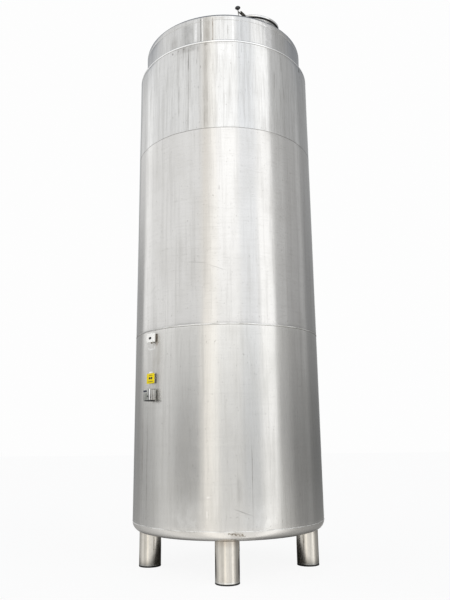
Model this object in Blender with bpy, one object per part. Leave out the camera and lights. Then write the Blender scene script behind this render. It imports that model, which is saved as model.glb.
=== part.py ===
"""Insulated vertical storage tank on four tube legs, in metres with +Z up.

The tank axis is the Z axis, the floor is z = 0 and the front leg stands at -Y.
A stainless vessel stands inside a jacket of three welded courses. The vessel's top
comes out through the jacket's closing ring and carries a conical roof with a round
manhole, whose lid is hinged and held down by one swing bolt with a hand knob.
"""
import math

import bmesh
import bpy
from mathutils import Matrix, Vector

# Fit between touching pieces
GAP = 0.0003

# Sides of the round pieces
TANK_SIDES = 64
MANHOLE_SIDES = 48
LEG_SIDES = 32
SMALL_SIDES = 24
SHARP_ANGLE = math.radians(32.0)

# Steps along each bend
PAN_STEPS = 4
RING_STEPS = 2
HEAD_STEPS = 3
ROOF_STEPS = 3
EYE_STEPS = 8
LUG_STEPS = 10
KNOB_STEPS = 7
LID_EDGE_STEPS = 2
WINDOW_STEPS = 6

# Jacket: outer radius, sheet thickness and the heights of its welded seams
JACKET_RADIUS = 0.968
JACKET_SHEET = 0.003
BOTTOM_Z = 0.3637
BASE_KNUCKLE = 0.0874
BASE_SEAM_Z = BOTTOM_Z + BASE_KNUCKLE
LOWER_SEAM_Z = 2.288
UPPER_SEAM_Z = 4.288
JACKET_TOP_Z = 5.286
RING_FLANGE = 0.028
RING_KNUCKLE = 0.012

# Vessel inside the jacket
VESSEL_RADIUS = 0.8995
VESSEL_SHEET = 0.004
HEAD_SEAM_Z = 0.540
HEAD_KNUCKLE = 0.060
HEAD_FALL = 0.03
VESSEL_SEAM_Z = 3.060
ROOF_SEAM_Z = 5.565

# Roof: knuckle centre height, knuckle radius and slope of the cone
ROOF_KNUCKLE_Z = 5.607
ROOF_KNUCKLE = 0.035
ROOF_SLOPE = math.radians(10.0)

# Legs
LEG_RADIUS = 0.1096
LEG_WALL = 0.005
LEG_CIRCLE = 0.794
PAD_HEIGHT = 0.008
LEG_TRIM = 0.060
LEG_DIRECTIONS = {"front": -90.0, "right": 0.0, "back": 90.0, "left": 180.0}

# Support ring that carries the vessel over the legs
SUPPORT_RADIUS = LEG_CIRCLE
SUPPORT_WALL = 0.010

# Manhole, square on the cone: the middle of its seat, and the way its bolt faces
MANHOLE_X = 0.379
MANHOLE_Y = -0.4295
SEAT_Z = 5.775
OUTWARD = math.atan2(MANHOLE_Y, MANHOLE_X)
BOLT_DIRECTION = math.radians(-123.0)
COLLAR_BORE = 0.232
COLLAR_WALL = 0.004
COLLAR_LIP = 0.012
COLLAR_DROP = 0.120

# Lid, measured from the manhole middle and up from the seat
LID_RADIUS = 0.262
LID_RIM_WIDTH = 0.017
LID_RIM_TOP = 0.034
LID_EDGE_ROUND = 0.008
LID_RISE = 0.028
LID_SHEET = 0.004
LID_DOME_SHARES = (0.8, 0.6, 0.35, 0.0)
GASKET_INNER = 0.228
GASKET_HEIGHT = 0.012

# Lid hinge on the far side of the manhole from the bolt
HINGE_REACH = -0.295
HINGE_Z = 0.008
HINGE_PIN_RADIUS = 0.006
HINGE_EYE = 0.014
LUG_WIDTH = 0.024
LUG_SHOULDER_DROP = 0.012
LUG_HEEL = 0.004
LUG_CLEARANCE = 0.006
HINGE_SLOT = 0.029
HINGE_BRACKET_WIDTH = 0.043
HINGE_PIN_LENGTH = 0.054
HINGE_FOOT_HIGH = -0.006
HINGE_FOOT_LOW = -0.060
LID_CLEARANCE = 0.008
SLOT_MARGIN = 0.004

# Swing bolt: its pivot, the shank and the clevis
BOLT_REACH = 0.325
BOLT_Z = -0.060
BOLT_LEAN = math.radians(25.0)
BOLT_PIN_RADIUS = 0.005
BOLT_EYE = 0.011
BOLT_EYE_WIDTH = 0.014
PIN_HOLE_REACH = 0.040
SHANK_FOOT = 0.0066
SHANK_RADIUS = 0.006
SHANK_TOP = 0.134
CLEVIS_EYE = 0.014
CLEVIS_SLOT = 0.016
CLEVIS_WIDTH = 0.028
CLEVIS_PIN_LENGTH = 0.038
CLEVIS_FOOT_LOW = -0.080
CLEVIS_FOOT_HIGH = -0.034

# Fork on the lid that the swing bolt closes into
FORK_WIDTH = 0.040
FORK_SLOT = 0.016
FORK_TIP = 0.337
FORK_SLOT_END = 0.315
FORK_BOTTOM = 0.0345
FORK_THICKNESS = 0.009
FORK_ROOT = 0.195
FORK_ROOT_TOP = 0.062
FORK_BEND = 0.245

# Hand knob, measured along the bolt from its pivot: a hub under a squat ball
KNOB_HUB_RADIUS = 0.014
KNOB_BOTTOM = 0.1095
KNOB_HUB_TOP = 0.112
KNOB_MIDDLE = 0.130
KNOB_RADIUS = 0.030
KNOB_HALF_HEIGHT = 0.020
KNOB_FOOT_ANGLE = math.radians(-58.0)
KNOB_BORE_DEPTH = 0.030

# Controller on the jacket: direction, height of its middle and sizes
CONTROLLER_DIRECTION = math.radians(-137.0)
CONTROLLER_Z = 2.207
CONTROLLER_WIDTH = 0.120
CONTROLLER_HEIGHT = 0.088
CONTROLLER_DEPTH = 0.038
CONTROLLER_BASE_DEPTH = 0.010
CONTROLLER_BASE_INSET = 0.007
CONTROLLER_ROUND = 0.006
WINDOW_WIDTH = 0.040
WINDOW_HEIGHT = 0.020
WINDOW_DEPTH = 0.003
WINDOW_SIDE = 0.006
WINDOW_DROP = 0.005
GLAND_RADIUS = 0.007
GLAND_LENGTH = 0.016
GLAND_SIDE = 0.012

# Sign on the jacket
SIGN_DIRECTION = math.radians(-137.7)
SIGN_Z = 1.814
SIGN_WIDTH = 0.134
SIGN_HEIGHT = 0.100
SIGN_STAND_OFF = 0.010
SIGN_THICKNESS = 0.002
HOLDER_WIDTH = 0.070
HOLDER_HEIGHT = 0.060
HOOK_WIDTH = 0.034
HOOK_HEIGHT = 0.014
HOOK_DEPTH = 0.018

# Instrument housing on the jacket
HOUSING_DIRECTION = math.radians(-136.3)
HOUSING_Z = 1.654
HOUSING_WIDTH = 0.105
HOUSING_HEIGHT = 0.118
HOUSING_DEPTH = 0.078
LABEL_WIDTH = 0.077
LABEL_HEIGHT = 0.016
LABEL_THICKNESS = 0.001
LABEL_DROP = 0.020
LABEL_MARGIN = 0.0025
COVER_HEIGHT = 0.100
COVER_SHEET = 0.002
COVER_MARGIN = 0.005
RIB_DEPTH = 0.005
RIB_WIDTH = 0.010
RIB_PITCH = 0.024
RIB_COUNT = 3
COVER_START = 0.010

# How far a cutter runs past what it cuts
OVERCUT = 0.020


def clear_scene():
    """Remove every object of the start-up scene."""
    for item in list(bpy.data.objects):
        bpy.data.objects.remove(item, do_unlink=True)


def make_material(name, colour, roughness, metallic):
    """Return a Principled material with a plain colour."""
    made = bpy.data.materials.new(name)
    made.use_nodes = True
    shader = made.node_tree.nodes["Principled BSDF"]
    shader.inputs["Base Color"].default_value = (*colour, 1.0)
    shader.inputs["Roughness"].default_value = roughness
    shader.inputs["Metallic"].default_value = metallic
    return made


def make_object(name, shape, look=None, parent=None, place=(0.0, 0.0, 0.0), turn=(0.0, 0.0, 0.0)):
    """Turn a bmesh into an object with its normals out, shaded smooth between sharp edges."""
    bmesh.ops.recalc_face_normals(shape, faces=shape.faces[:])
    mesh = bpy.data.meshes.new(name)
    shape.to_mesh(mesh)
    shape.free()
    mesh.shade_smooth()
    mesh.set_sharp_from_angle(angle=SHARP_ANGLE)
    made = bpy.data.objects.new(name, mesh)
    bpy.context.collection.objects.link(made)
    if look is not None:
        mesh.materials.append(look)
    made.parent = parent
    made.location = place
    made.rotation_euler = turn
    return made


def make_cutter(name, shape, parent=None, place=(0.0, 0.0, 0.0), turn=(0.0, 0.0, 0.0)):
    """Make a shape that only cuts others and isn't a piece of the tank."""
    made = make_object(name, shape, None, parent, place, turn)
    made.hide_render = True
    made.display_type = "WIRE"
    return made


def make_frame(name, place, turn=(0.0, 0.0, 0.0), parent=None):
    """Return an empty that carries a group of pieces."""
    made = bpy.data.objects.new(name, None)
    bpy.context.collection.objects.link(made)
    made.parent = parent
    made.location = place
    made.rotation_euler = turn
    return made


def cut(target, cutter):
    """Cut one object's shape out of another."""
    step = target.modifiers.new("cut by " + cutter.name, "BOOLEAN")
    step.operation = "DIFFERENCE"
    step.solver = "EXACT"
    step.object = cutter


def arc(centre_r, centre_z, radius, start, stop, steps):
    """Return points along an arc in the radius-height plane, with angles in degrees."""
    angles = [math.radians(start + (stop - start) * i / steps) for i in range(steps + 1)]
    return [(centre_r + radius * math.cos(a), centre_z + radius * math.sin(a)) for a in angles]


def turned(points, sides, closed=False):
    """Spin a profile of (radius, height) points once around the local Z axis."""
    shape = bmesh.new()
    corners = [shape.verts.new((radius, 0.0, height)) for radius, height in points]
    edges = [shape.edges.new(pair) for pair in zip(corners, corners[1:])]
    if closed:
        edges.append(shape.edges.new((corners[-1], corners[0])))
    bmesh.ops.spin(
        shape, geom=corners + edges, cent=(0.0, 0.0, 0.0), axis=(0.0, 0.0, 1.0),
        angle=2.0 * math.pi, steps=sides, use_merge=True)
    bmesh.ops.remove_doubles(shape, verts=shape.verts[:], dist=0.00002)
    return shape


def swept(points, sweep):
    """Extrude a flat outline of 3-D points along a straight sweep."""
    shape = bmesh.new()
    face = shape.faces.new([shape.verts.new(point) for point in points])
    grown = bmesh.ops.extrude_face_region(shape, geom=[face])
    moved = [item for item in grown["geom"] if isinstance(item, bmesh.types.BMVert)]
    bmesh.ops.translate(shape, verts=moved, vec=Vector(sweep))
    return shape


def block(low, high):
    """Return a box between two opposite corners."""
    shape = bmesh.new()
    low, high = Vector(low), Vector(high)
    grow = Matrix.Diagonal((*(high - low), 1.0))
    bmesh.ops.create_cube(shape, size=1.0, matrix=Matrix.Translation((low + high) / 2.0) @ grow)
    return shape


def upright_profile(outline, width):
    """Extrude an outline of (reach, height) points sideways, centred on its plane."""
    return swept([(reach, -width / 2.0, height) for reach, height in outline], (0.0, width, 0.0))


def ring(outer, wall, low, high):
    """Return the profile of a straight tube wall."""
    return [(outer, low), (outer, high), (outer - wall, high), (outer - wall, low)]


def round_bar(radius, low, high):
    """Return the profile of a solid round bar."""
    return [(0.0, low), (radius, low), (radius, high), (0.0, high)]


def polar(radius, degrees, height):
    """Return a point at a distance and direction from the tank axis."""
    angle = math.radians(degrees)
    return (radius * math.cos(angle), radius * math.sin(angle), height)


# Legs and pads

def base_outline(grow):
    """Return the underside and knuckle of the base pan, grown outwards by a little."""
    knuckle_r = JACKET_RADIUS - BASE_KNUCKLE
    bend = arc(knuckle_r, BASE_SEAM_Z, BASE_KNUCKLE + grow, -90.0, 0.0, PAN_STEPS)
    return [(0.0, BOTTOM_Z - grow)] + bend


def build_legs(steel, rubber):
    """Four tube legs, trimmed to the base pan, each on a rubber pad."""
    above = [(JACKET_RADIUS + GAP, BASE_SEAM_Z + LEG_TRIM), (0.0, BASE_SEAM_Z + LEG_TRIM)]
    pan_cutter = make_cutter("pan_envelope", turned(base_outline(GAP) + above, TANK_SIDES))
    for name, degrees in LEG_DIRECTIONS.items():
        place = polar(LEG_CIRCLE, degrees, 0.0)
        tube = turned(ring(LEG_RADIUS, LEG_WALL, PAD_HEIGHT + GAP, BOTTOM_Z + LEG_TRIM), LEG_SIDES, True)
        leg = make_object("leg_" + name, tube, steel, place=place)
        cut(leg, pan_cutter)
        pad = turned(round_bar(LEG_RADIUS, 0.0, PAD_HEIGHT), LEG_SIDES)
        make_object("foot_pad_" + name, pad, rubber, place=place)


# Jacket

def build_jacket(steel):
    """Base pan, three courses and the closing ring between the jacket and the vessel."""
    bend_r = JACKET_RADIUS - BASE_KNUCKLE
    inner_knuckle = arc(bend_r, BASE_SEAM_Z, BASE_KNUCKLE - JACKET_SHEET, 0.0, -90.0, PAN_STEPS)
    pan = base_outline(0.0) + inner_knuckle + [(0.0, BOTTOM_Z + JACKET_SHEET)]
    make_object("jacket_base_pan", turned(pan, TANK_SIDES), steel)

    flange_z = JACKET_TOP_Z - RING_FLANGE
    seams = [BASE_SEAM_Z, LOWER_SEAM_Z, UPPER_SEAM_Z, flange_z]
    for name, low, high in zip(("lower", "middle", "upper"), seams, seams[1:]):
        course = ring(JACKET_RADIUS, JACKET_SHEET, low + GAP, high)
        make_object("jacket_course_" + name, turned(course, TANK_SIDES, True), steel)

    bend_r = JACKET_RADIUS - RING_KNUCKLE
    bend_z = JACKET_TOP_Z - RING_KNUCKLE
    outer = arc(bend_r, bend_z, RING_KNUCKLE, 0.0, 90.0, RING_STEPS)
    inner = arc(bend_r, bend_z, RING_KNUCKLE - JACKET_SHEET, 90.0, 0.0, RING_STEPS)
    hole = VESSEL_RADIUS + GAP
    profile = [(JACKET_RADIUS, flange_z + GAP)] + outer
    profile += [(hole, JACKET_TOP_Z), (hole, JACKET_TOP_Z - JACKET_SHEET)]
    profile += inner + [(JACKET_RADIUS - JACKET_SHEET, flange_z + GAP)]
    make_object("jacket_closing_ring", turned(profile, TANK_SIDES, True), steel)


# Vessel

def head_underside(radius):
    """Return the height of the bottom head's underside at a radius inside its knuckle."""
    return HEAD_SEAM_Z - HEAD_KNUCKLE - HEAD_FALL * (VESSEL_RADIUS - HEAD_KNUCKLE - radius)


def build_vessel(steel):
    """Bottom cone and its knuckle, support ring and the two courses of the vessel shell."""
    bend_r = VESSEL_RADIUS - HEAD_KNUCKLE
    outer = arc(bend_r, HEAD_SEAM_Z, HEAD_KNUCKLE, -90.0, 0.0, HEAD_STEPS)
    inner = arc(bend_r, HEAD_SEAM_Z, HEAD_KNUCKLE - VESSEL_SHEET, 0.0, -90.0, HEAD_STEPS)
    make_object("vessel_bottom_knuckle", turned(outer + inner, TANK_SIDES, True), steel)

    edge_r = bend_r - GAP
    under = [(0.0, head_underside(0.0)), (edge_r, head_underside(edge_r))]
    cone = under + [(r, z + VESSEL_SHEET) for r, z in under[::-1]]
    make_object("vessel_bottom_head", turned(cone, TANK_SIDES), steel)

    outside = SUPPORT_RADIUS + SUPPORT_WALL / 2.0
    inside = SUPPORT_RADIUS - SUPPORT_WALL / 2.0
    floor_z = BOTTOM_Z + JACKET_SHEET + GAP
    support = [(outside, floor_z), (outside, head_underside(outside) - GAP)]
    support += [(inside, head_underside(inside) - GAP), (inside, floor_z)]
    make_object("vessel_support_ring", turned(support, TANK_SIDES, True), steel)

    seams = [HEAD_SEAM_Z, VESSEL_SEAM_Z, ROOF_SEAM_Z]
    for name, low, high in zip(("lower", "upper"), seams, seams[1:]):
        course = ring(VESSEL_RADIUS, VESSEL_SHEET, low + GAP, high)
        make_object("vessel_shell_" + name, turned(course, TANK_SIDES, True), steel)


# Roof

def roof_surface(grow):
    """Return the roof's outer line from its knuckle to the peak, grown outwards by a little."""
    slope = math.degrees(ROOF_SLOPE)
    bend_r = VESSEL_RADIUS - ROOF_KNUCKLE
    bend = arc(bend_r, ROOF_KNUCKLE_Z, ROOF_KNUCKLE + grow, 0.0, 90.0 - slope, ROOF_STEPS)
    edge_r, edge_z = bend[-1]
    return bend + [(0.0, edge_z + edge_r * math.tan(ROOF_SLOPE))]


def build_roof(seat, steel):
    """Roof knuckle with a straight flange, and the cone on it, open under the manhole."""
    outer = roof_surface(0.0)
    inner = roof_surface(-VESSEL_SHEET)
    foot_z = ROOF_SEAM_Z + GAP
    knuckle = [(VESSEL_RADIUS - VESSEL_SHEET, foot_z), (VESSEL_RADIUS, foot_z)]
    knuckle += outer[:-1] + inner[-2::-1]
    make_object("roof_knuckle", turned(knuckle, TANK_SIDES, True), steel)

    back, rise = GAP * math.cos(ROOF_SLOPE), GAP * math.sin(ROOF_SLOPE)
    edge = [(r - back, z + rise) for r, z in (inner[-2], outer[-2])]
    roof = make_object("roof", turned([inner[-1]] + edge + [outer[-1]], TANK_SIDES), steel)
    bore = turned(round_bar(COLLAR_BORE, -COLLAR_DROP, OVERCUT), MANHOLE_SIDES)
    cut(roof, make_cutter("manhole_bore", bore, seat))


# Manhole collar and the brackets on it

def build_collar(frame, steel):
    """Collar on the roof, with a lip that the lid's gasket seats on."""
    outside = COLLAR_BORE + COLLAR_WALL
    lip = outside + COLLAR_LIP
    profile = [(outside, -COLLAR_DROP), (outside, -COLLAR_WALL), (lip, -COLLAR_WALL), (lip, 0.0)]
    profile += [(COLLAR_BORE, 0.0), (COLLAR_BORE, -COLLAR_DROP)]
    collar = make_object("manhole_collar", turned(profile, MANHOLE_SIDES, True), steel, frame)
    solid = [(VESSEL_RADIUS + GAP, ROOF_SEAM_Z)] + roof_surface(GAP) + [(0.0, ROOF_SEAM_Z)]
    cut(collar, make_cutter("roof_envelope", turned(solid, TANK_SIDES)))


def eye_end(reach, height, eye, start):
    """Return a plate's round end about a pin, from a start angle over the top to underneath."""
    side = math.copysign(1.0, reach)
    return [(reach + side * r, z) for r, z in arc(0.0, height, eye, start, -90.0, EYE_STEPS)]


def build_brackets(frame, steel):
    """Hinge bracket and swing-bolt clevis, both welded to the collar, with their pins."""
    outside = COLLAR_BORE + COLLAR_WALL + GAP
    wall = make_cutter(
        "collar_envelope", turned(round_bar(outside, -COLLAR_DROP, OVERCUT), MANHOLE_SIDES), frame)

    place = (HINGE_REACH, 0.0, HINGE_Z)
    outline = [(-COLLAR_BORE, HINGE_FOOT_HIGH), (-LID_RADIUS - LID_CLEARANCE, HINGE_FOOT_HIGH)]
    outline += eye_end(HINGE_REACH, HINGE_Z, HINGE_EYE, 180.0)
    outline += [(-COLLAR_BORE, HINGE_FOOT_LOW)]
    plate = upright_profile(outline, HINGE_BRACKET_WIDTH)
    hinge = make_object("lid_hinge_bracket", plate, steel, frame)
    cut(hinge, wall)
    slot_end = HINGE_REACH - HINGE_EYE - OVERCUT
    slot_low = (slot_end, -HINGE_SLOT / 2.0, HINGE_Z - HINGE_EYE - SLOT_MARGIN)
    slot_high = (-LID_RADIUS, HINGE_SLOT / 2.0, HINGE_Z + HINGE_EYE + OVERCUT)
    cut(hinge, make_cutter("hinge_slot", block(slot_low, slot_high), frame))
    hinge_hole = pin_cutter("hinge_hole", HINGE_PIN_RADIUS, frame, place)
    cut(hinge, hinge_hole)
    make_pin("lid_hinge_pin", HINGE_PIN_RADIUS, HINGE_PIN_LENGTH, frame, place, steel)

    place = (BOLT_REACH, 0.0, BOLT_Z)
    outline = [(COLLAR_BORE, CLEVIS_FOOT_HIGH)] + eye_end(BOLT_REACH, BOLT_Z, CLEVIS_EYE, 90.0)
    outline += [(COLLAR_BORE, CLEVIS_FOOT_LOW)]
    clevis = make_object("bolt_clevis", upright_profile(outline, CLEVIS_WIDTH), steel, frame)
    cut(clevis, wall)
    slot_start, slot_end = BOLT_REACH - CLEVIS_EYE - SLOT_MARGIN, BOLT_REACH + CLEVIS_EYE + OVERCUT
    slot_low = (slot_start, -CLEVIS_SLOT / 2.0, CLEVIS_FOOT_LOW - OVERCUT)
    slot_high = (slot_end, CLEVIS_SLOT / 2.0, CLEVIS_FOOT_HIGH + OVERCUT)
    cut(clevis, make_cutter("clevis_slot", block(slot_low, slot_high), frame))
    cut(clevis, pin_cutter("clevis_hole", BOLT_PIN_RADIUS, frame, place))
    make_pin("bolt_clevis_pin", BOLT_PIN_RADIUS, CLEVIS_PIN_LENGTH, frame, place, steel)
    return hinge_hole


def pin_cutter(name, pin_radius, frame, place):
    """Return a cutter for the hole that a sideways pin goes through."""
    hole = turned(round_bar(pin_radius + GAP, -PIN_HOLE_REACH, PIN_HOLE_REACH), SMALL_SIDES)
    return make_cutter(name, hole, frame, place, (math.pi / 2.0, 0.0, 0.0))


def make_pin(name, radius, length, frame, place, steel):
    """Make a round pin that lies sideways across its bracket."""
    bar = turned(round_bar(radius, -length / 2.0, length / 2.0), SMALL_SIDES)
    return make_object(name, bar, steel, frame, place, (math.pi / 2.0, 0.0, 0.0))


# Lid, gasket, fork and hinge lug, which all swing about the hinge pin

def dome(radius, height):
    """Return a shallow dome's line, from inside its edge to its top."""
    return [(radius * k, height + LID_RISE * (1.0 - k * k)) for k in LID_DOME_SHARES]


def lid_surface(grow):
    """Return the lid's outer line from the foot of its rounded edge to the top, grown by a little."""
    bend_r = LID_RADIUS - LID_EDGE_ROUND
    bend_z = LID_RIM_TOP - LID_EDGE_ROUND
    bend = arc(bend_r, bend_z, LID_EDGE_ROUND + grow, 0.0, 90.0, LID_EDGE_STEPS)
    return bend + dome(bend_r, LID_RIM_TOP + grow)


def build_lid(frame, hinge_hole, steel, rubber):
    """Domed lid on its rim ring, with the gasket, the bolt fork and the hinge lug."""
    axis = make_frame("lid_hinge_axis", (HINGE_REACH, 0.0, HINGE_Z), parent=frame)
    middle = (-HINGE_REACH, 0.0, -HINGE_Z)

    rim_inner = LID_RADIUS - LID_RIM_WIDTH
    rim_z = LID_RIM_TOP - LID_EDGE_ROUND
    under_z = LID_RIM_TOP - LID_SHEET
    profile = dome(rim_inner, under_z)[::-1] + [(rim_inner, under_z), (rim_inner, rim_z)]
    profile += lid_surface(0.0)
    make_object("manhole_lid", turned(profile, MANHOLE_SIDES), steel, axis, middle)

    rim = ring(LID_RADIUS, LID_RIM_WIDTH, GASKET_HEIGHT + GAP, rim_z - GAP)
    make_object("lid_rim", turned(rim, MANHOLE_SIDES, True), steel, axis, middle)

    gasket = ring(LID_RADIUS, LID_RADIUS - GASKET_INNER, GAP, GASKET_HEIGHT)
    make_object("lid_gasket", turned(gasket, MANHOLE_SIDES, True), rubber, axis, middle)

    base = [(LID_RADIUS + GAP, -OVERCUT)] + lid_surface(GAP) + [(0.0, -OVERCUT)]
    lid_cutter = make_cutter("lid_envelope", turned(base, MANHOLE_SIDES), frame)
    build_fork(frame, axis, middle, lid_cutter, steel)
    build_lug(axis, middle, lid_cutter, hinge_hole, steel)


def build_fork(frame, axis, middle, lid_cutter, steel):
    """Forked strap on the lid that the swing bolt closes into."""
    fork_top = FORK_BOTTOM + FORK_THICKNESS
    fork_outline = [(FORK_TIP, FORK_BOTTOM), (FORK_TIP, fork_top), (FORK_BEND, fork_top)]
    fork_outline += [(FORK_ROOT, FORK_ROOT_TOP), (FORK_ROOT, FORK_BOTTOM)]
    fork = make_object("lid_fork", upright_profile(fork_outline, FORK_WIDTH), steel, axis, middle)
    cut(fork, lid_cutter)
    slot_low = (FORK_SLOT_END, -FORK_SLOT / 2.0, 0.0)
    slot_high = (FORK_TIP + OVERCUT, FORK_SLOT / 2.0, FORK_ROOT_TOP + OVERCUT)
    cut(fork, make_cutter("fork_slot", block(slot_low, slot_high), frame))


def build_lug(axis, middle, lid_cutter, hinge_hole, steel):
    """Strap from the lid's top down to its eye on the hinge pin."""
    near = -LID_RADIUS - LUG_CLEARANCE
    outline = [(-FORK_ROOT, FORK_ROOT_TOP), (-FORK_BEND, FORK_ROOT_TOP - LUG_SHOULDER_DROP)]
    outline += arc(HINGE_REACH, HINGE_Z, HINGE_EYE, 90.0, 330.0, LUG_STEPS)
    outline += [(near, HINGE_Z + LUG_HEEL), (near, FORK_BOTTOM), (-FORK_ROOT, FORK_BOTTOM)]
    lug = make_object("lid_hinge_lug", upright_profile(outline, LUG_WIDTH), steel, axis, middle)
    cut(lug, lid_cutter)
    cut(lug, hinge_hole)


# Swing bolt and hand knob

def ball_side():
    """Return the line of the knob's squat ball, from its hub round to its top."""
    sweep = math.pi / 2.0 - KNOB_FOOT_ANGLE
    angles = [KNOB_FOOT_ANGLE + sweep * i / KNOB_STEPS for i in range(KNOB_STEPS)]
    side = [(KNOB_RADIUS * math.cos(a), KNOB_MIDDLE + KNOB_HALF_HEIGHT * math.sin(a)) for a in angles]
    return side + [(0.0, KNOB_MIDDLE + KNOB_HALF_HEIGHT)]


def build_swing_bolt(frame, steel, bakelite):
    """Eye bolt that leans out from its clevis, with a round knob on its thread."""
    axis = make_frame("bolt_axis", (BOLT_REACH, 0.0, BOLT_Z), (0.0, BOLT_LEAN, 0.0), frame)
    eye = turned(round_bar(BOLT_EYE, -BOLT_EYE_WIDTH / 2.0, BOLT_EYE_WIDTH / 2.0), SMALL_SIDES)
    bolt = make_object("swing_bolt", eye, steel, axis, turn=(math.pi / 2.0, 0.0, 0.0))
    bar = turned(round_bar(SHANK_RADIUS, SHANK_FOOT, SHANK_TOP), SMALL_SIDES)
    shank = make_cutter("bolt_shank", bar, axis)
    join = bolt.modifiers.new("shank", "BOOLEAN")
    join.operation = "UNION"
    join.solver = "EXACT"
    join.object = shank
    cut(bolt, pin_cutter("bolt_eye_hole", BOLT_PIN_RADIUS, axis, (0.0, 0.0, 0.0)))

    bore = SHANK_RADIUS + GAP
    bore_top = KNOB_BOTTOM + KNOB_BORE_DEPTH
    profile = [(0.0, bore_top), (bore, bore_top), (bore, KNOB_BOTTOM), (KNOB_HUB_RADIUS, KNOB_BOTTOM)]
    profile += [(KNOB_HUB_RADIUS, KNOB_HUB_TOP)] + ball_side()
    make_object("hand_knob", turned(profile, MANHOLE_SIDES), bakelite, axis)


# Fittings on the jacket wall

def wall_frame(name, direction, height):
    """Return an empty on the tank axis whose +X points out through a fitting's middle."""
    return make_frame(name, (0.0, 0.0, height), (0.0, 0.0, direction))


def jacket_cutter():
    """Return a solid of the jacket's outside that trims the back of what is fixed to it."""
    length = round_bar(JACKET_RADIUS + GAP, BASE_SEAM_Z, UPPER_SEAM_Z)
    return make_cutter("jacket_envelope", turned(length, TANK_SIDES))


def wall_block(depth_low, depth_high, half_width, half_height, side=0.0, lift=0.0):
    """Return a box between two distances from the jacket, centred on its frame or shifted."""
    low = (JACKET_RADIUS + depth_low, side - half_width, lift - half_height)
    high = (JACKET_RADIUS + depth_high, side + half_width, lift + half_height)
    return block(low, high)


def build_controller(jacket, plastic, dark_plastic):
    """White controller case on a base, with a dark oval window and a cable gland below."""
    frame = wall_frame("controller_frame", CONTROLLER_DIRECTION, CONTROLLER_Z)
    half_w = CONTROLLER_WIDTH / 2.0
    half_h = CONTROLLER_HEIGHT / 2.0
    inset = CONTROLLER_BASE_INSET
    back = wall_block(-OVERCUT, CONTROLLER_BASE_DEPTH, half_w - inset, half_h - inset)
    base = make_object("controller_base", back, dark_plastic, frame)
    cut(base, jacket)

    front = wall_block(CONTROLLER_BASE_DEPTH + GAP, CONTROLLER_DEPTH, half_w, half_h)
    case = make_object("controller_case", front, plastic, frame)
    soften = case.modifiers.new("rounded edges", "BEVEL")
    soften.width = CONTROLLER_ROUND
    soften.segments = 2
    soften.limit_method = "ANGLE"

    run = (WINDOW_WIDTH - WINDOW_HEIGHT) / 2.0
    ends = arc(run, 0.0, WINDOW_HEIGHT / 2.0, -90.0, 90.0, WINDOW_STEPS)
    ends += arc(-run, 0.0, WINDOW_HEIGHT / 2.0, 90.0, 270.0, WINDOW_STEPS)
    face_x = JACKET_RADIUS + CONTROLLER_DEPTH + GAP
    outline = [(face_x, side + WINDOW_SIDE, lift - WINDOW_DROP) for side, lift in ends]
    make_object("controller_window", swept(outline, (WINDOW_DEPTH, 0.0, 0.0)), dark_plastic, frame)

    gland = turned(round_bar(GLAND_RADIUS, -GLAND_LENGTH, -GAP), SMALL_SIDES)
    gland_x = JACKET_RADIUS + (CONTROLLER_BASE_DEPTH + CONTROLLER_DEPTH) / 2.0
    make_object("cable_gland", gland, dark_plastic, frame, (gland_x, GLAND_SIDE, -half_h))


def build_sign(jacket, steel, yellow, white):
    """Yellow sign plate on a small holder, hung under a white hook."""
    frame = wall_frame("sign_frame", SIGN_DIRECTION, SIGN_Z)
    back = wall_block(-OVERCUT, SIGN_STAND_OFF - GAP, HOLDER_WIDTH / 2.0, HOLDER_HEIGHT / 2.0)
    holder = make_object("sign_holder", back, steel, frame)
    cut(holder, jacket)
    face = SIGN_STAND_OFF + SIGN_THICKNESS
    plate = wall_block(SIGN_STAND_OFF, face, SIGN_WIDTH / 2.0, SIGN_HEIGHT / 2.0)
    make_object("sign_plate", plate, yellow, frame)
    lift = SIGN_HEIGHT / 2.0 + GAP + HOOK_HEIGHT / 2.0
    cap = wall_block(-OVERCUT, HOOK_DEPTH, HOOK_WIDTH / 2.0, HOOK_HEIGHT / 2.0, lift=lift)
    hook = make_object("sign_hook", cap, white, frame)
    cut(hook, jacket)


def build_housing(jacket, steel, navy):
    """Stainless instrument housing with a label and a ribbed cover on its right side."""
    frame = wall_frame("housing_frame", HOUSING_DIRECTION, HOUSING_Z)
    half_w = HOUSING_WIDTH / 2.0
    half_h = HOUSING_HEIGHT / 2.0
    box = wall_block(-OVERCUT, HOUSING_DEPTH, half_w, half_h)
    housing = make_object("instrument_housing", box, steel, frame)
    cut(housing, jacket)

    face = HOUSING_DEPTH + GAP
    side = LABEL_WIDTH / 2.0 - half_w + LABEL_MARGIN
    lift = half_h - LABEL_DROP - LABEL_HEIGHT / 2.0
    label = wall_block(face, face + LABEL_THICKNESS, LABEL_WIDTH / 2.0, LABEL_HEIGHT / 2.0, side, lift)
    make_object("housing_label", label, navy, frame)

    base_y = half_w + GAP
    flat_y = base_y + COVER_SHEET
    start = JACKET_RADIUS + COVER_START
    stop = JACKET_RADIUS + HOUSING_DEPTH - COVER_MARGIN
    crest_y = flat_y + RIB_DEPTH
    plan = [(start, base_y), (stop, base_y), (stop, flat_y)]
    for number in range(RIB_COUNT):
        far = stop - RIB_WIDTH / 2.0 - number * RIB_PITCH
        near = far - RIB_WIDTH
        plan += [(far, flat_y), (far, crest_y), (near, crest_y), (near, flat_y)]
    plan += [(start, flat_y)]
    outline = [(x, y, -COVER_HEIGHT / 2.0) for x, y in plan]
    make_object("housing_side_cover", swept(outline, (0.0, 0.0, COVER_HEIGHT)), steel, frame)


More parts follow.
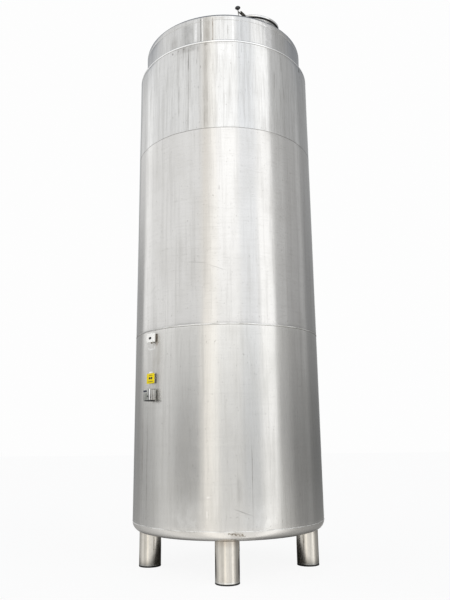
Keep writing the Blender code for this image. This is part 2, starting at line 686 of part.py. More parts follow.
def main():
    """Build the whole tank."""
    clear_scene()
    jacket_steel = make_material("jacket stainless", (0.62, 0.62, 0.60), 0.35, 1.0)
    vessel_steel = make_material("vessel stainless", (0.70, 0.70, 0.69), 0.30, 1.0)
    leg_steel = make_material("leg stainless", (0.60, 0.58, 0.54), 0.30, 1.0)
    rubber = make_material("black rubber", (0.02, 0.02, 0.02), 0.80, 0.0)
    bakelite = make_material("black bakelite", (0.015, 0.015, 0.017), 0.35, 0.0)
    white_plastic = make_material("white plastic", (0.85, 0.86, 0.84), 0.45, 0.0)
    black_plastic = make_material("black plastic", (0.03, 0.03, 0.03), 0.50, 0.0)
    yellow = make_material("yellow enamel", (0.90, 0.78, 0.03), 0.40, 0.0)
    navy = make_material("navy label", (0.01, 0.02, 0.06), 0.45, 0.0)

    build_legs(leg_steel, rubber)
    build_jacket(jacket_steel)
    build_vessel(vessel_steel)
    seat = make_frame("manhole_seat", (MANHOLE_X, MANHOLE_Y, SEAT_Z), (0.0, ROOF_SLOPE, OUTWARD))
    build_roof(seat, vessel_steel)

    manhole = make_frame("manhole_frame", (0.0, 0.0, 0.0), (0.0, 0.0, BOLT_DIRECTION - OUTWARD), seat)
    build_collar(manhole, vessel_steel)
    hinge_hole = build_brackets(manhole, vessel_steel)
    build_lid(manhole, hinge_hole, vessel_steel, rubber)
    build_swing_bolt(manhole, vessel_steel, bakelite)

    jacket = jacket_cutter()
    build_controller(jacket, white_plastic, black_plastic)
    build_sign(jacket, jacket_steel, yellow, white_plastic)
    build_housing(jacket, jacket_steel, navy)


main()
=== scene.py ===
"""Looks of an insulated vertical storage tank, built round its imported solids.

Metres, +Z up, the tank axis on Z, the floor at z = 0 and the front leg at -Y. Each new
surface is worked out with numpy as a grid of points, in the same frame as the solids.
A direction round the tank is 0 towards the front leg and grows towards +X.
"""

import logging
import math
from dataclasses import dataclass
from enum import Enum

import bmesh
import bpy
import numpy as np
from mathutils import Matrix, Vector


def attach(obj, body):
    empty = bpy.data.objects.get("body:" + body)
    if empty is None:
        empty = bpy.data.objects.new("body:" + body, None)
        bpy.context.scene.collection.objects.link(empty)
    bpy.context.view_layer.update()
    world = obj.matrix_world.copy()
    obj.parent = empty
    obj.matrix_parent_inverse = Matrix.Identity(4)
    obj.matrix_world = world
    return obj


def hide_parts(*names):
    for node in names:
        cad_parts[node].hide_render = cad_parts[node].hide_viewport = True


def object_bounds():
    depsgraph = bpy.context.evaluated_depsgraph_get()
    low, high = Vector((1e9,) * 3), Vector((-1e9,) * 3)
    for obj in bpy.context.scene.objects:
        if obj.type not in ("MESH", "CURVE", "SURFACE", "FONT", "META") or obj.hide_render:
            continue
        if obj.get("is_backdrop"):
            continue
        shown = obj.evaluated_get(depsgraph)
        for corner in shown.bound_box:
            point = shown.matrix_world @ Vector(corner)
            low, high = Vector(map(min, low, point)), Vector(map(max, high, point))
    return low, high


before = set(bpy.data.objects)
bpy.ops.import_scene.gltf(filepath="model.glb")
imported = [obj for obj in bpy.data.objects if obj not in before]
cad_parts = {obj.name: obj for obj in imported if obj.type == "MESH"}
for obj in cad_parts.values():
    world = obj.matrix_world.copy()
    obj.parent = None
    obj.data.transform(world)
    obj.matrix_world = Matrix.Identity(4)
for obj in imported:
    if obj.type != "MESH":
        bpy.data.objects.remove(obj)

LOG = logging.getLogger("tank")
Array = np.ndarray
Pair = tuple[float, float]
Point = tuple[float, float, float]
Tree = bpy.types.NodeTree
Socket = bpy.types.NodeSocket
GAP = 0.0003
TAU = 2.0 * math.pi

# Distances in metres at which points become one and slivers go, and turns of a surface in
# degrees: under the first two faces are one flat, and over the others an edge is sharp.
MERGE = 2e-6
SLIVER = 1e-7
SOLID_MERGE = 1e-5
FLAT_TURN = 0.5
SHARP_TURN = 35.0
PLATE_TURN = 40.0
FINE_TURN = 50.0

# Node types and settings that come up again and again.
MATH, MIX, RANGE = "ShaderNodeMath", "ShaderNodeMix", "ShaderNodeMapRange"
TIMES = {"operation": "MULTIPLY"}
TIMES_PLUS = {"operation": "MULTIPLY_ADD"}
SMOOTH = {"interpolation_type": "SMOOTHSTEP"}
COLOURS = {"data_type": "RGBA"}

# Each noise is moved on from the one before, its finer sizes fall off by one share, and a mark
# is full in its core and keeps its least share where it is broken up.
NOISE_STEP = (3.7, 1.9, 5.3)
NOISE_FALL = 0.55
MARK_CORE = 0.2
MARK_LEAST = 0.45

# Steps of a weld round the tank, and how far its path wanders up and down.
ROUND_STEPS = 1400
WELD_WANDER = 0.0008


# Points


def angles(count: int) -> Array:
    """Return evenly spaced angles once round, without the last repeat.

    Args:
        count: Number of angles.

    Returns:
        The angles in radians.
    """
    return np.arange(count) * (TAU / count)


def polar(radius: Array | float, t: Array, z: Array | float) -> Array:
    """Return points at a radius, a direction and a height: (radius cos t, radius sin t, z).

    Args:
        radius: Distances from Z.
        t: Directions in radians.
        z: Heights.

    Returns:
        The points, in the shape that the three arrays make together.
    """
    return np.stack(np.broadcast_arrays(radius * np.cos(t), radius * np.sin(t), z), -1)


def bend(centre_r: float, centre_z: float, radius: float, start: float, stop: float, steps: int) -> Array:
    """Return an arc in the radius-height plane: centre + radius (cos a, sin a).

    Args:
        centre_r: Radius of the arc's middle from the axis.
        centre_z: Height of the arc's middle.
        radius: Radius of the arc.
        start: First angle in degrees.
        stop: Last angle in degrees.
        steps: Number of steps along it.

    Returns:
        An array of (radius, height) rows.
    """
    a = np.radians(np.linspace(start, stop, steps + 1))
    return np.stack([centre_r + radius * np.cos(a), centre_z + radius * np.sin(a)], -1)


def line(start: Pair, stop: Pair, steps: int) -> Array:
    """Return evenly spaced points from one (radius, height) point to another.

    Args:
        start: First point.
        stop: Last point.
        steps: Number of steps between them.

    Returns:
        An array of (radius, height) rows.
    """
    t = np.linspace(0.0, 1.0, steps + 1)[:, None]
    return np.array(start) * (1.0 - t) + np.array(stop) * t


def turned(inner: float, radius: float, half: float, cut: float) -> Array:
    """Return the profile of a turned bar or ring whose outer edges are cut at 45 degrees.

    Args:
        inner: Radius where its ends stop.
        radius: Its outer radius.
        half: Half its length.
        cut: Size of the cut edges.

    Returns:
        An array of (radius, height) rows.
    """
    lower = [(inner, -half), (radius - cut, -half), (radius, cut - half)]
    return np.array(lower + [(r, -z) for r, z in reversed(lower)])


def revolve(profile: Array, columns: int, swell: Array | float = 0.0) -> Array:
    """Carry a profile round Z: point (i, j) = ((r_i + s_ij) cos t_j, (r_i + s_ij) sin t_j, z_i).

    Args:
        profile: (radius, height) rows.
        columns: Number of steps round.
        swell: What is added to the radius, as one number or as a rows x columns array.

    Returns:
        A rows x columns x 3 grid of points.
    """
    return polar(profile[:, 0, None] + swell, angles(columns)[None, :], profile[:, 1, None])


def waves(t: Array, counts: tuple[int, ...], size: float, seed: int) -> Array:
    """Return a closed wavy line: a sum of sines with whole wave counts and seeded phases.

    Args:
        t: Angles in radians.
        counts: Waves round for each sine.
        size: Root mean square of the whole sum.
        seed: Seed of the phases and shares.

    Returns:
        The height of the wavy line at each angle.
    """
    random = np.random.default_rng(seed)
    total = np.zeros_like(t)
    power = 0.0
    for count in counts:
        share = random.uniform(0.5, 1.0)
        total = total + share * np.sin(count * t + random.uniform(0.0, TAU))
        power += 0.5 * share * share
    return total * (size / math.sqrt(power))


def place(points: Array, origin: Point, turn: float, lean: float = 0.0) -> Array:
    """Turn points about Y by a lean, then about Z, then move them.

    Args:
        points: Any array whose last axis is x, y, z.
        origin: Where the local origin goes.
        turn: Angle of local +X about Z, in degrees.
        lean: Tilt of local +Z towards local +X, in degrees.

    Returns:
        The points in the outer frame.
    """
    spin = Matrix.Rotation(math.radians(turn), 3, "Z") @ Matrix.Rotation(math.radians(lean), 3, "Y")
    return points @ np.array(spin).T + np.array(origin)


def sideways(points: Array) -> Array:
    """Lay a shape that was turned about Z along local Y instead.

    Args:
        points: Any array whose last axis is x, y, z.

    Returns:
        The points as (x, z, -y).
    """
    return np.stack([points[..., 0], points[..., 2], -points[..., 1]], -1)


@dataclass
class Patch:
    """One grid of points, and how its edges close.

    Attributes:
        points: rows x columns x 3.
        loop_rows: The last row joins the first.
        loop_columns: The last column joins the first.
        cap_first: The first row is closed by a fan about its middle.
        cap_last: The last row is closed by a fan about its middle.
    """

    points: Array
    loop_rows: bool = False
    loop_columns: bool = True
    cap_first: bool = False
    cap_last: bool = False

    def corners(self) -> tuple[Array, Array, Array]:
        """Number the grid's points and work out its faces.

        Returns:
            The vertices, the four-sided faces and the three-sided faces.
        """
        rows, columns = self.points.shape[:2]
        i = np.arange(rows if self.loop_rows else rows - 1)[:, None]
        j = np.arange(columns if self.loop_columns else columns - 1)[None, :]
        i_next, j_next = (i + 1) % rows, (j + 1) % columns
        index = [i * columns + j, i * columns + j_next, i_next * columns + j_next, i_next * columns + j]
        quads = np.stack([k + 0 * (i + j) for k in index], -1).reshape(-1, 4)
        points = self.points.reshape(-1, 3)
        fans = []
        for wanted, row in ((self.cap_first, 0), (self.cap_last, rows - 1)):
            if wanted:
                edge = np.arange(columns) + row * columns
                middle = np.full(columns, len(points))
                fans.append(np.stack([edge, np.roll(edge, -1), middle], -1))
                points = np.concatenate([points, self.points[row].mean(0)[None]])
        tris = np.concatenate(fans) if fans else np.zeros((0, 3), int)
        return points, quads, tris


def ring(grid: Array) -> list[Patch]:
    """Return a grid as one patch whose last row joins its first, as in a hollow ring.

    Args:
        grid: rows x columns x 3 points.

    Returns:
        A list of the one patch.
    """
    return [Patch(grid, loop_rows=True)]


def plug(grid: Array) -> list[Patch]:
    """Return a grid as one patch that is closed at its first and its last row.

    Args:
        grid: rows x columns x 3 points.

    Returns:
        A list of the one patch.
    """
    return [Patch(grid, cap_first=True, cap_last=True)]


def rounded_box(low: Point, high: Point, radius: float, steps: int = 3) -> list[Patch]:
    """Return a box with round edges: each grid point is pushed out by the radius from the inner box.

    A point p on the plain box goes to q + radius (p - q) / |p - q|, where q is p held inside
    the box that is smaller by the radius.

    Args:
        low: Lowest corner.
        high: Highest corner.
        radius: Radius of the edges.
        steps: Steps across each rounded edge.

    Returns:
        Six patches, one for each side.
    """
    low, high = np.array(low, float), np.array(high, float)
    middle, half = (low + high) / 2.0, (high - low) / 2.0
    ease = 1.0 - np.cos(np.linspace(0.0, math.pi / 2.0, steps + 1))
    patches = []
    for axis in range(3):
        first, second = (axis + 1) % 3, (axis + 2) % 3
        lines = []
        for other in (first, second):
            edge = -half[other] + radius * ease
            lines.append(np.concatenate([edge, -edge[::-1]]))
        u, v = np.meshgrid(*lines, indexing="ij")
        for side in (-1.0, 1.0):
            p = np.zeros((*u.shape, 3))
            p[..., axis], p[..., first], p[..., second] = side * half[axis], u, v
            q = np.clip(p, -(half - radius), half - radius)
            away = p - q
            length = np.linalg.norm(away, axis=-1, keepdims=True)
            patches.append(Patch(middle + q + away * (radius / length), loop_columns=False))
    return patches


def bead(path: Array, out: Array, width: float, height: float, seed: int, closed: bool = True) -> Patch:
    """Carry a low oval along a path, with the ripples and small wander of a weld.

    The oval at each point is path + s (height cos a N + width / 2 sin a B), where N points out,
    B lies across, and s swings by an eighth with the ripples and a little more with a slow wave.

    Args:
        path: n x 3 points along the joint.
        out: n x 3 directions that point out of the metal.
        width: Width of the bead.
        height: How far it stands out.
        seed: Seed of its slow waves.
        closed: The path ends where it starts.

    Returns:
        One patch, capped where the path is open.
    """
    along = np.roll(path, -1, 0) - np.roll(path, 1, 0) if closed else np.gradient(path, axis=0)
    along = along / np.linalg.norm(along, axis=1, keepdims=True)
    out = out - (out * along).sum(1, keepdims=True) * along
    out = out / np.linalg.norm(out, axis=1, keepdims=True)
    across = np.cross(along, out)
    t = angles(len(path))
    ripple = 0.86 + 0.10 * np.sin(len(path) / 5.0 * t) + waves(t, (7, 19, 43, 71), 0.04, seed)
    ripple = np.clip(ripple, 0.5, 1.0)
    wander = waves(t, (5, 11, 23, 37), width * 0.05, seed + 1)
    a = angles(8)[:, None, None]
    oval = height * np.cos(a) * out[None] + width / 2.0 * np.sin(a) * across[None]
    points = path[None] + wander[None, :, None] * across[None] + oval * ripple[None, :, None]
    grid = points.transpose(1, 0, 2)
    return Patch(grid, loop_rows=closed, cap_first=not closed, cap_last=not closed)


# Finishes


def linear(code: str) -> tuple[float, float, float, float]:
    """Turn an sRGB hex colour into the linear colour that a shader takes.

    Args:
        code: Colour such as "#b8b6b0".

    Returns:
        Linear red, green, blue and an alpha of 1.
    """
    values = [int(code[i:i + 2], 16) / 255.0 for i in (1, 3, 5)]
    return (*[v / 12.92 if v <= 0.04045 else ((v + 0.055) / 1.055) ** 2.4 for v in values], 1.0)


def add(
        tree: Tree, kind: str, inputs: dict | None = None, out: int | str = 0,
        **settings: object) -> Socket | None:
    """Add a node, set its properties, and set or link its inputs.

    Args:
        tree: Where the node goes.
        kind: The node's type.
        inputs: A value or a socket for each input, by name or number.
        out: Which of its outputs is wanted.
        settings: The node's own properties.

    Returns:
        The wanted output, or nothing where the node has none.
    """
    node = tree.nodes.new(kind)
    for key, value in settings.items():
        setattr(node, key, value)
    for key, value in (inputs or {}).items():
        if isinstance(value, Socket):
            tree.links.new(value, node.inputs[key])
        else:
            node.inputs[key].default_value = value
    return node.outputs[out] if node.outputs else None


@dataclass(frozen=True)
class Layer:
    """One pattern of a finish: a noise at its real size, and what it does to the surface.

    Attributes:
        size: Size of its features along X, Y and Z, in millimetres.
        low: Value of the noise where the pattern starts to show.
        high: Value of the noise where it shows in full.
        colour: Colour that it brings.
        share: How much of that colour it brings.
        rough: What it adds to the roughness.
        depth: Its relief in metres, or 0.
        detail: How many finer sizes it holds.
    """

    size: Point
    low: float = 0.40
    high: float = 0.70
    colour: str = "#000000"
    share: float = 0.0
    rough: float = 0.0
    depth: float = 0.0
    detail: float = 3.0


@dataclass(frozen=True)
class Mark:
    """A soft-edged mark at its own place on the tank.

    Attributes:
        azimuth: Direction of its middle in degrees.
        half_width: Half its width, in degrees.
        low: Height of its lower end.
        high: Height of its upper end.
        fade: Height over which its ends fade.
        share: How strongly it shows.
        colour: Its colour.
        tilt: Height that it gains for each degree to the right.
        rough: What it adds to the roughness where it shows in full.
    """

    azimuth: float
    half_width: float
    low: float
    high: float
    fade: float
    share: float
    colour: str = "#5f5b54"
    tilt: float = 0.0
    rough: float = 0.0


@dataclass(frozen=True)
class Finish:
    """A real material with a real surface, painted from its patterns and marks.

    Attributes:
        name: What it is and how it was made.
        colour: Colour of the clean surface.
        roughness: Roughness of the clean surface.
        layers: Its patterns, from the first put on to the last.
        marks: Its single marks.
        metallic: 1 for a metal and 0 for anything else.
        ior: Refractive index; a metal keeps the shader's own.
        coat: Strength of a clear skin over it.
    """

    name: str
    colour: str
    roughness: float
    layers: tuple[Layer, ...] = ()
    marks: tuple[Mark, ...] = ()
    metallic: float = 1.0
    ior: float = 1.5
    coat: float = 0.0

    def material(self) -> bpy.types.Material:
        """Return the finished material, made the first time that it is asked for."""
        known = bpy.data.materials.get(self.name)
        return known if known is not None else self.paint()

    def paint(self) -> bpy.types.Material:
        """Build the material's nodes: each layer mixes in colour, roughness and relief in turn.

        Returns:
            The new material.
        """
        made = bpy.data.materials.new(self.name)
        made.use_nodes = True
        tree = made.node_tree
        shader = tree.nodes["Principled BSDF"]
        shader.inputs["Metallic"].default_value = self.metallic
        if not self.metallic:
            shader.inputs["IOR"].default_value = self.ior
            shader.inputs["Coat Weight"].default_value = self.coat
        spot = add(tree, "ShaderNodeTexCoord", out="Object")
        colour, rough, normal, broken = linear(self.colour), self.roughness, None, None
        for number, layer in enumerate(self.layers):
            moved = add(tree, "ShaderNodeMapping", {
                "Vector": spot, "Location": tuple(number * step for step in NOISE_STEP),
                "Scale": tuple(1000.0 / size for size in layer.size)})
            noise = add(tree, "ShaderNodeTexNoise", {
                "Vector": moved, "Scale": 1.0, "Detail": layer.detail, "Roughness": NOISE_FALL})
            mask = add(tree, RANGE, {0: noise, 1: layer.low, 2: layer.high}, **SMOOTH)
            if number == 0:
                broken = mask
            if layer.share:
                share = add(tree, MATH, {0: mask, 1: layer.share}, **TIMES)
                colour = add(tree, MIX, {0: share, 6: colour, 7: linear(layer.colour)}, 2, **COLOURS)
            if layer.rough:
                rough = add(tree, MATH, {0: mask, 1: layer.rough, 2: rough}, **TIMES_PLUS)
            if layer.depth:
                relief = {"Strength": 1.0, "Distance": layer.depth, "Height": mask}
                normal = add(tree, "ShaderNodeBump", relief | ({"Normal": normal} if normal else {}))
        if self.marks:
            colour, rough = self.draw_marks(tree, spot, broken, colour, rough)
        for name, value in (("Base Color", colour), ("Roughness", rough), ("Normal", normal)):
            if isinstance(value, Socket):
                tree.links.new(value, shader.inputs[name])
            elif value is not None:
                shader.inputs[name].default_value = value
        return made

    def draw_marks(
            self, tree: Tree, spot: Socket, broken: Socket, colour: object,
            rough: object) -> tuple[object, object]:
        """Mix each mark in: across(direction) * above(height) * below(height) * share.

        Args:
            tree: The material's nodes.
            spot: Object coordinates.
            broken: The first layer's pattern, which breaks the marks up.
            colour: The colour so far.
            rough: The roughness so far.

        Returns:
            The colour and the roughness with the marks on them.
        """
        split = add(tree, "ShaderNodeSeparateXYZ", {0: spot}).node.outputs
        front = add(tree, MATH, {0: split["Y"], 1: -1.0}, **TIMES)
        turn = add(tree, MATH, {0: split["X"], 1: front}, operation="ARCTAN2")
        kept = add(tree, RANGE, {0: broken, 3: 1.0, 4: MARK_LEAST})
        for mark in self.marks:
            off = add(tree, MATH, {0: turn, 1: math.radians(mark.azimuth)}, operation="SUBTRACT")
            side = add(tree, MATH, {0: off}, operation="ABSOLUTE")
            half = math.radians(mark.half_width)
            shown = add(tree, RANGE, {0: side, 1: half * MARK_CORE, 2: half, 3: mark.share, 4: 0.0}, **SMOOTH)
            height = add(tree, MATH, {0: off, 1: -math.degrees(mark.tilt), 2: split["Z"]}, **TIMES_PLUS)
            for edge, low, high in ((mark.low, 0.0, 1.0), (mark.high, 1.0, 0.0)):
                end = add(tree, RANGE, {
                    0: height, 1: edge - mark.fade, 2: edge + mark.fade, 3: low, 4: high}, **SMOOTH)
                shown = add(tree, MATH, {0: shown, 1: end}, **TIMES)
            shown = add(tree, MATH, {0: shown, 1: kept}, **TIMES)
            colour = add(tree, MIX, {0: shown, 6: colour, 7: linear(mark.colour)}, 2, **COLOURS)
            if mark.rough:
                rough = add(tree, MATH, {0: shown, 1: mark.rough, 2: rough}, **TIMES_PLUS)
        return colour, rough


# 304 sheet is cold rolled and left as it came from the mill. It is a satin mirror: it shows the
# room as upright bands with soft edges. Rain has left faint upright streaks, the rolls fine lines
# round the shell, and handling specks and short scratches. A pattern thinner than about 8 mm is
# drawn that coarse, or it wouldn't show.
BROKEN = Layer((60.0, 60.0, 110.0), 0.35, 0.65, rough=0.02)
RUN_OFF = Layer((34.0, 34.0, 800.0), 0.46, 0.70, "#8d8b86", 0.20, rough=0.05)
THIN_RUNS = Layer((13.0, 13.0, 260.0), 0.46, 0.72, "#77756f", 0.16, detail=2.0)
SOFT_RUNS = Layer((38.0, 38.0, 900.0), 0.46, 0.70, "#8d8b86", 0.13, rough=0.05)
BRUSHED_LINES = Layer((15.0, 15.0, 180.0), 0.44, 0.74, "#8a8780", 0.06, detail=2.0)
STAINS = Layer((380.0, 380.0, 520.0), 0.42, 0.74, "#a29f97", 0.14, rough=0.05)
ROLL_LINES = Layer((500.0, 500.0, 11.0), 0.42, 0.72, "#918f89", 0.05, detail=2.0)
SPECKS = Layer((13.0, 13.0, 18.0), 0.69, 0.77, "#5d584f", 0.34, detail=1.0)
FLATS = Layer((110.0, 110.0, 1800.0), 0.30, 0.70, depth=0.00020, detail=2.0)
RIPPLES = Layer((300.0, 300.0, 90.0), 0.30, 0.70, depth=0.00022, detail=2.0)
SHORT_LINES = Layer((95.0, 95.0, 15.0), 0.56, 0.72, "#9c9a93", 0.10, depth=0.00005, detail=2.0)
HAZE = Layer((22.0, 22.0, 26.0), 0.38, 0.70, "#a5a29a", 0.08, rough=0.04)
ROOF_CLOUD = Layer((260.0, 260.0, 260.0), 0.42, 0.72, "#8f8b82", 0.30, rough=0.10)
UPPER_MARKS = (
    Mark(-21.0, 0.55, 4.97, 5.22, 0.03, 0.55, "#56534f"),
    Mark(-21.0, 0.40, 4.30, 4.95, 0.20, 0.35),
    Mark(-27.6, 0.45, 4.49, 4.80, 0.05, 0.45),
    Mark(-24.7, 0.70, 5.11, 5.25, 0.03, 0.40),
    Mark(-14.7, 0.45, 5.17, 5.22, 0.015, 0.65),
    Mark(-15.5, 0.40, 5.03, 5.08, 0.02, 0.60),
    Mark(-13.0, 0.35, 4.97, 5.00, 0.008, 0.65),
    Mark(-14.5, 0.35, 4.74, 4.77, 0.008, 0.60),
    Mark(-10.2, 1.60, 4.30, 5.26, 0.03, 0.26, "#8d8b86"),
    Mark(-9.0, 0.30, 4.32, 4.83, 0.10, 0.45),
    Mark(-20.0, 0.40, 4.30, 4.60, 0.05, 0.50, "#f4f4f2"),
    Mark(12.3, 0.35, 5.14, 5.23, 0.02, 0.35),
    Mark(40.5, 0.50, 5.05, 5.21, 0.03, 0.45),
    Mark(34.7, 0.45, 4.82, 4.99, 0.04, 0.40),
    Mark(42.4, 0.45, 4.72, 4.84, 0.04, 0.40),
    Mark(61.4, 1.30, 5.20, 5.25, 0.012, 0.85, "#3f3d3a"),
    Mark(-22.0, 11.0, 5.19, 5.26, 0.020, 0.42, "#7b7872"),
    Mark(-9.5, 1.5, 5.225, 5.252, 0.008, 0.42, "#6b6863"),
    Mark(-19.8, 1.0, 5.228, 5.250, 0.007, 0.50, "#5f5c57"),
    Mark(-24.3, 0.9, 5.225, 5.248, 0.007, 0.55, "#5f5c57"),
    Mark(-28.1, 0.8, 5.220, 5.242, 0.007, 0.50, "#5f5c57"),
    Mark(-32.6, 0.8, 5.210, 5.232, 0.007, 0.60, "#4c4a46"),
    Mark(0.5, 8.0, 5.232, 5.252, 0.008, 0.35, "#8c8a85"),
    Mark(62.1, 0.60, 5.13, 5.16, 0.012, 0.50),
)
# The white marks that run the whole height of the neck are painted highlights: upright bright bands like the
# bright panels reflected. The grey and brown marks darken it in upright bands and spots.
NECK_MARKS = (
    Mark(-17.6, 1.70, 5.28, 5.60, 0.02, 0.60, "#ffffff"),
    Mark(-14.1, 0.60, 5.28, 5.60, 0.02, 0.62, "#5a5650"),
    Mark(-13.8, 0.45, 5.36, 5.43, 0.02, 0.50, "#2e2c2a"),
    Mark(-12.9, 0.60, 5.28, 5.60, 0.02, 0.85, "#ffffff"),
    Mark(-9.7, 3.00, 5.28, 5.60, 0.02, 0.34, "#7e7870"),
    Mark(-5.9, 0.75, 5.28, 5.59, 0.02, 0.88, "#6a5a4b"),
    Mark(-24.0, 6.00, 5.28, 5.56, 0.03, 0.34, "#6d6e6e"),
    Mark(-35.0, 5.00, 5.28, 5.46, 0.05, 0.30, "#76716a"),
    Mark(4.3, 0.30, 5.39, 5.50, 0.02, 0.50),
    Mark(7.9, 1.20, 5.28, 5.60, 0.03, 0.35, "#ffffff"),
    Mark(33.8, 4.5, 5.28, 5.60, 0.03, 0.95, "#ffffff"),
    Mark(13.6, 1.20, 5.28, 5.58, 0.03, 0.25, "#8d8d8c"),
    Mark(-2.0, 5.00, 5.575, 5.60, 0.006, 0.35, "#8c8173"),
)
MIDDLE_MARKS = (
    Mark(-16.0, 9.0, 2.893, 2.899, 0.004, 0.40, "#7b7973", -0.0022),
    Mark(-4.0, 6.0, 2.83, 2.836, 0.004, 0.35, "#7b7973", -0.0065),
    Mark(-2.2, 0.30, 3.62, 3.66, 0.01, 0.60),
    Mark(3.3, 0.30, 3.22, 3.24, 0.008, 0.50),
    Mark(-47.0, 4.0, 2.70, 2.706, 0.004, 0.30, "#74716a", 0.012),
)
LOWER_MARKS = (
    Mark(14.0, 0.35, 0.47, 1.15, 0.08, 0.45, "#77736b"),
    Mark(9.3, 6.5, 0.601, 0.610, 0.004, 0.60, "#5d5a54", -0.0063),
    Mark(-9.3, 1.7, 0.731, 0.743, 0.005, 0.45, "#ffffff"),
    Mark(-10.2, 0.5, 0.57, 0.62, 0.012, 0.50, "#ffffff"),
    Mark(7.0, 2.2, 0.70, 0.90, 0.08, 0.22, "#6b6a66"),
    Mark(-57.5, 2.2, 0.75, 1.45, 0.20, 0.30, "#6e6655"),
    Mark(-51.5, 1.0, 0.60, 1.40, 0.25, 0.26, "#6a675f"),
    Mark(-43.0, 6.5, 1.58, 2.25, 0.04, 0.50, "#bfbcb5", rough=0.50),
    # Painted highlights: two wide white bands brighten the foot of the lower course at the front.
    Mark(-21.0, 13.0, 0.42, 0.68, 0.14, 0.70, "#fdfdfb"),
    Mark(17.0, 14.0, 0.42, 0.64, 0.14, 0.45, "#fdfdfb"),
    # Painted reflection: a pale U on the sheet below the controller, like its underside mirrored.
    Mark(-48.4, 3.4, 2.094, 2.106, 0.006, 0.90, "#ffffff"),
    Mark(-51.2, 0.9, 2.098, 2.120, 0.007, 0.75, "#ffffff"),
    Mark(-45.4, 0.9, 2.098, 2.124, 0.007, 0.80, "#ffffff"),
    # Painted shadows: grey to the right of the sign and the housing, and warm brown to the right of the
    # controller.
    Mark(-42.4, 2.2, 1.62, 1.95, 0.10, 0.30, "#77716a"),
    Mark(-43.2, 1.4, 2.12, 2.24, 0.04, 0.45, "#8f765c"),
)
PAN_MARKS = (
    Mark(5.2, 4.5, 0.400, 0.45, 0.012, 0.45, "#857a6c"),
    Mark(1.0, 7.5, 0.355, 0.392, 0.012, 0.40, "#75695b"),
    Mark(-2.0, 3.0, 0.40, 0.44, 0.012, 0.55, "#f4f1ea"),
)
SHEET_UPPER = Finish("304 stainless sheet, mill rolled, upper course", "#dbdbda", 0.135,
                     (BROKEN, RUN_OFF, THIN_RUNS, STAINS, ROLL_LINES, SPECKS, FLATS), UPPER_MARKS)
SHEET_MIDDLE = Finish("304 stainless sheet, mill rolled, middle course", "#dad9d7", 0.14,
                      (BROKEN, SOFT_RUNS, STAINS, ROLL_LINES, SHORT_LINES, SPECKS, FLATS, RIPPLES),
                      MIDDLE_MARKS)
SHEET_LOWER = Finish("304 stainless sheet, mill rolled, lower course", "#dad9d6", 0.165,
                     (BROKEN, SOFT_RUNS, BRUSHED_LINES, STAINS, ROLL_LINES, SPECKS, FLATS), LOWER_MARKS)
SHEET_PAN = Finish("304 stainless sheet, pressed, base pan", "#e6e4e0", 0.24,
                   (BROKEN, STAINS, SPECKS), PAN_MARKS)
SHEET_RING = Finish("304 stainless sheet, flanged, closing ring", "#f8f8f7", 0.18, (BROKEN, STAINS, HAZE))
SHEET_NECK = Finish("304 stainless sheet, mill rolled, vessel neck", "#d2d2d1", 0.15,
                    (BROKEN, RUN_OFF, THIN_RUNS, STAINS, SPECKS, FLATS), NECK_MARKS)
SHEET_ROOF = Finish("304 stainless sheet, mill rolled, roof", "#d2d2d1", 0.24,
                    (BROKEN, HAZE, ROOF_CLOUD, SPECKS))

# Drawn 304 tube has fine lines along it, a brown heat tint under the weld at its top and a
# ground bright edge at its foot.
DRAWN_LINES = Layer((8.0, 8.0, 420.0), 0.42, 0.74, "#8e867a", 0.16, detail=2.0)
TUBE_CLOUD = Layer((45.0, 45.0, 70.0), 0.42, 0.75, "#9a9080", 0.12, rough=0.05)
TUBE = Finish("304 stainless tube, bright drawn", "#e2ded6", 0.17, (TUBE_CLOUD, DRAWN_LINES),
              (Mark(0.0, 700.0, 0.325, 0.90, 0.035, 0.35, "#8a7258"),))
TUBE_FOOT = Finish("304 stainless tube, ground foot", "#e9e8e4", 0.22,
                   (Layer((60.0, 60.0, 8.0), 0.4, 0.7, "#a8a49b", 0.15, rough=0.05),))

# Pressed and turned 304 parts are brighter where polished, and matt and clouded where pickled. The pickled
# colour is also darkened as painted shade, so the lid's fork looks shaded from below.
PRESSED = Finish("304 stainless pressing, polished", "#e4e4e3", 0.16,
                 (Layer((90.0, 90.0, 90.0), 0.42, 0.72, "#a09d97", 0.14, rough=0.06),))
BLASTED = Finish("304 stainless sheet, bead blasted", "#fdfdfc", 0.55,
                 (Layer((60.0, 60.0, 60.0), 0.42, 0.72, "#d5d3cd", 0.25, rough=0.06),))
PICKLED = Finish("304 stainless plate, pickled", "#77746f", 0.42,
                 (Layer((12.0, 12.0, 12.0), 0.40, 0.72, "#5a554d", 0.35, rough=0.10, depth=0.00004),))
TURNED = Finish("304 stainless bar, turned", "#b9b8b5", 0.28,
                (Layer((50.0, 50.0, 2.0), 0.40, 0.72, "#4f4b45", 0.20, rough=0.06),))
FOLDED = Finish("304 stainless sheet, folded and brushed", "#bdbebb", 0.22,
                (Layer((90.0, 90.0, 6.0), 0.42, 0.72, "#6f6b62", 0.30, rough=0.08),
                 Layer((18.0, 18.0, 40.0), 0.45, 0.72, "#5e584c", 0.30)))

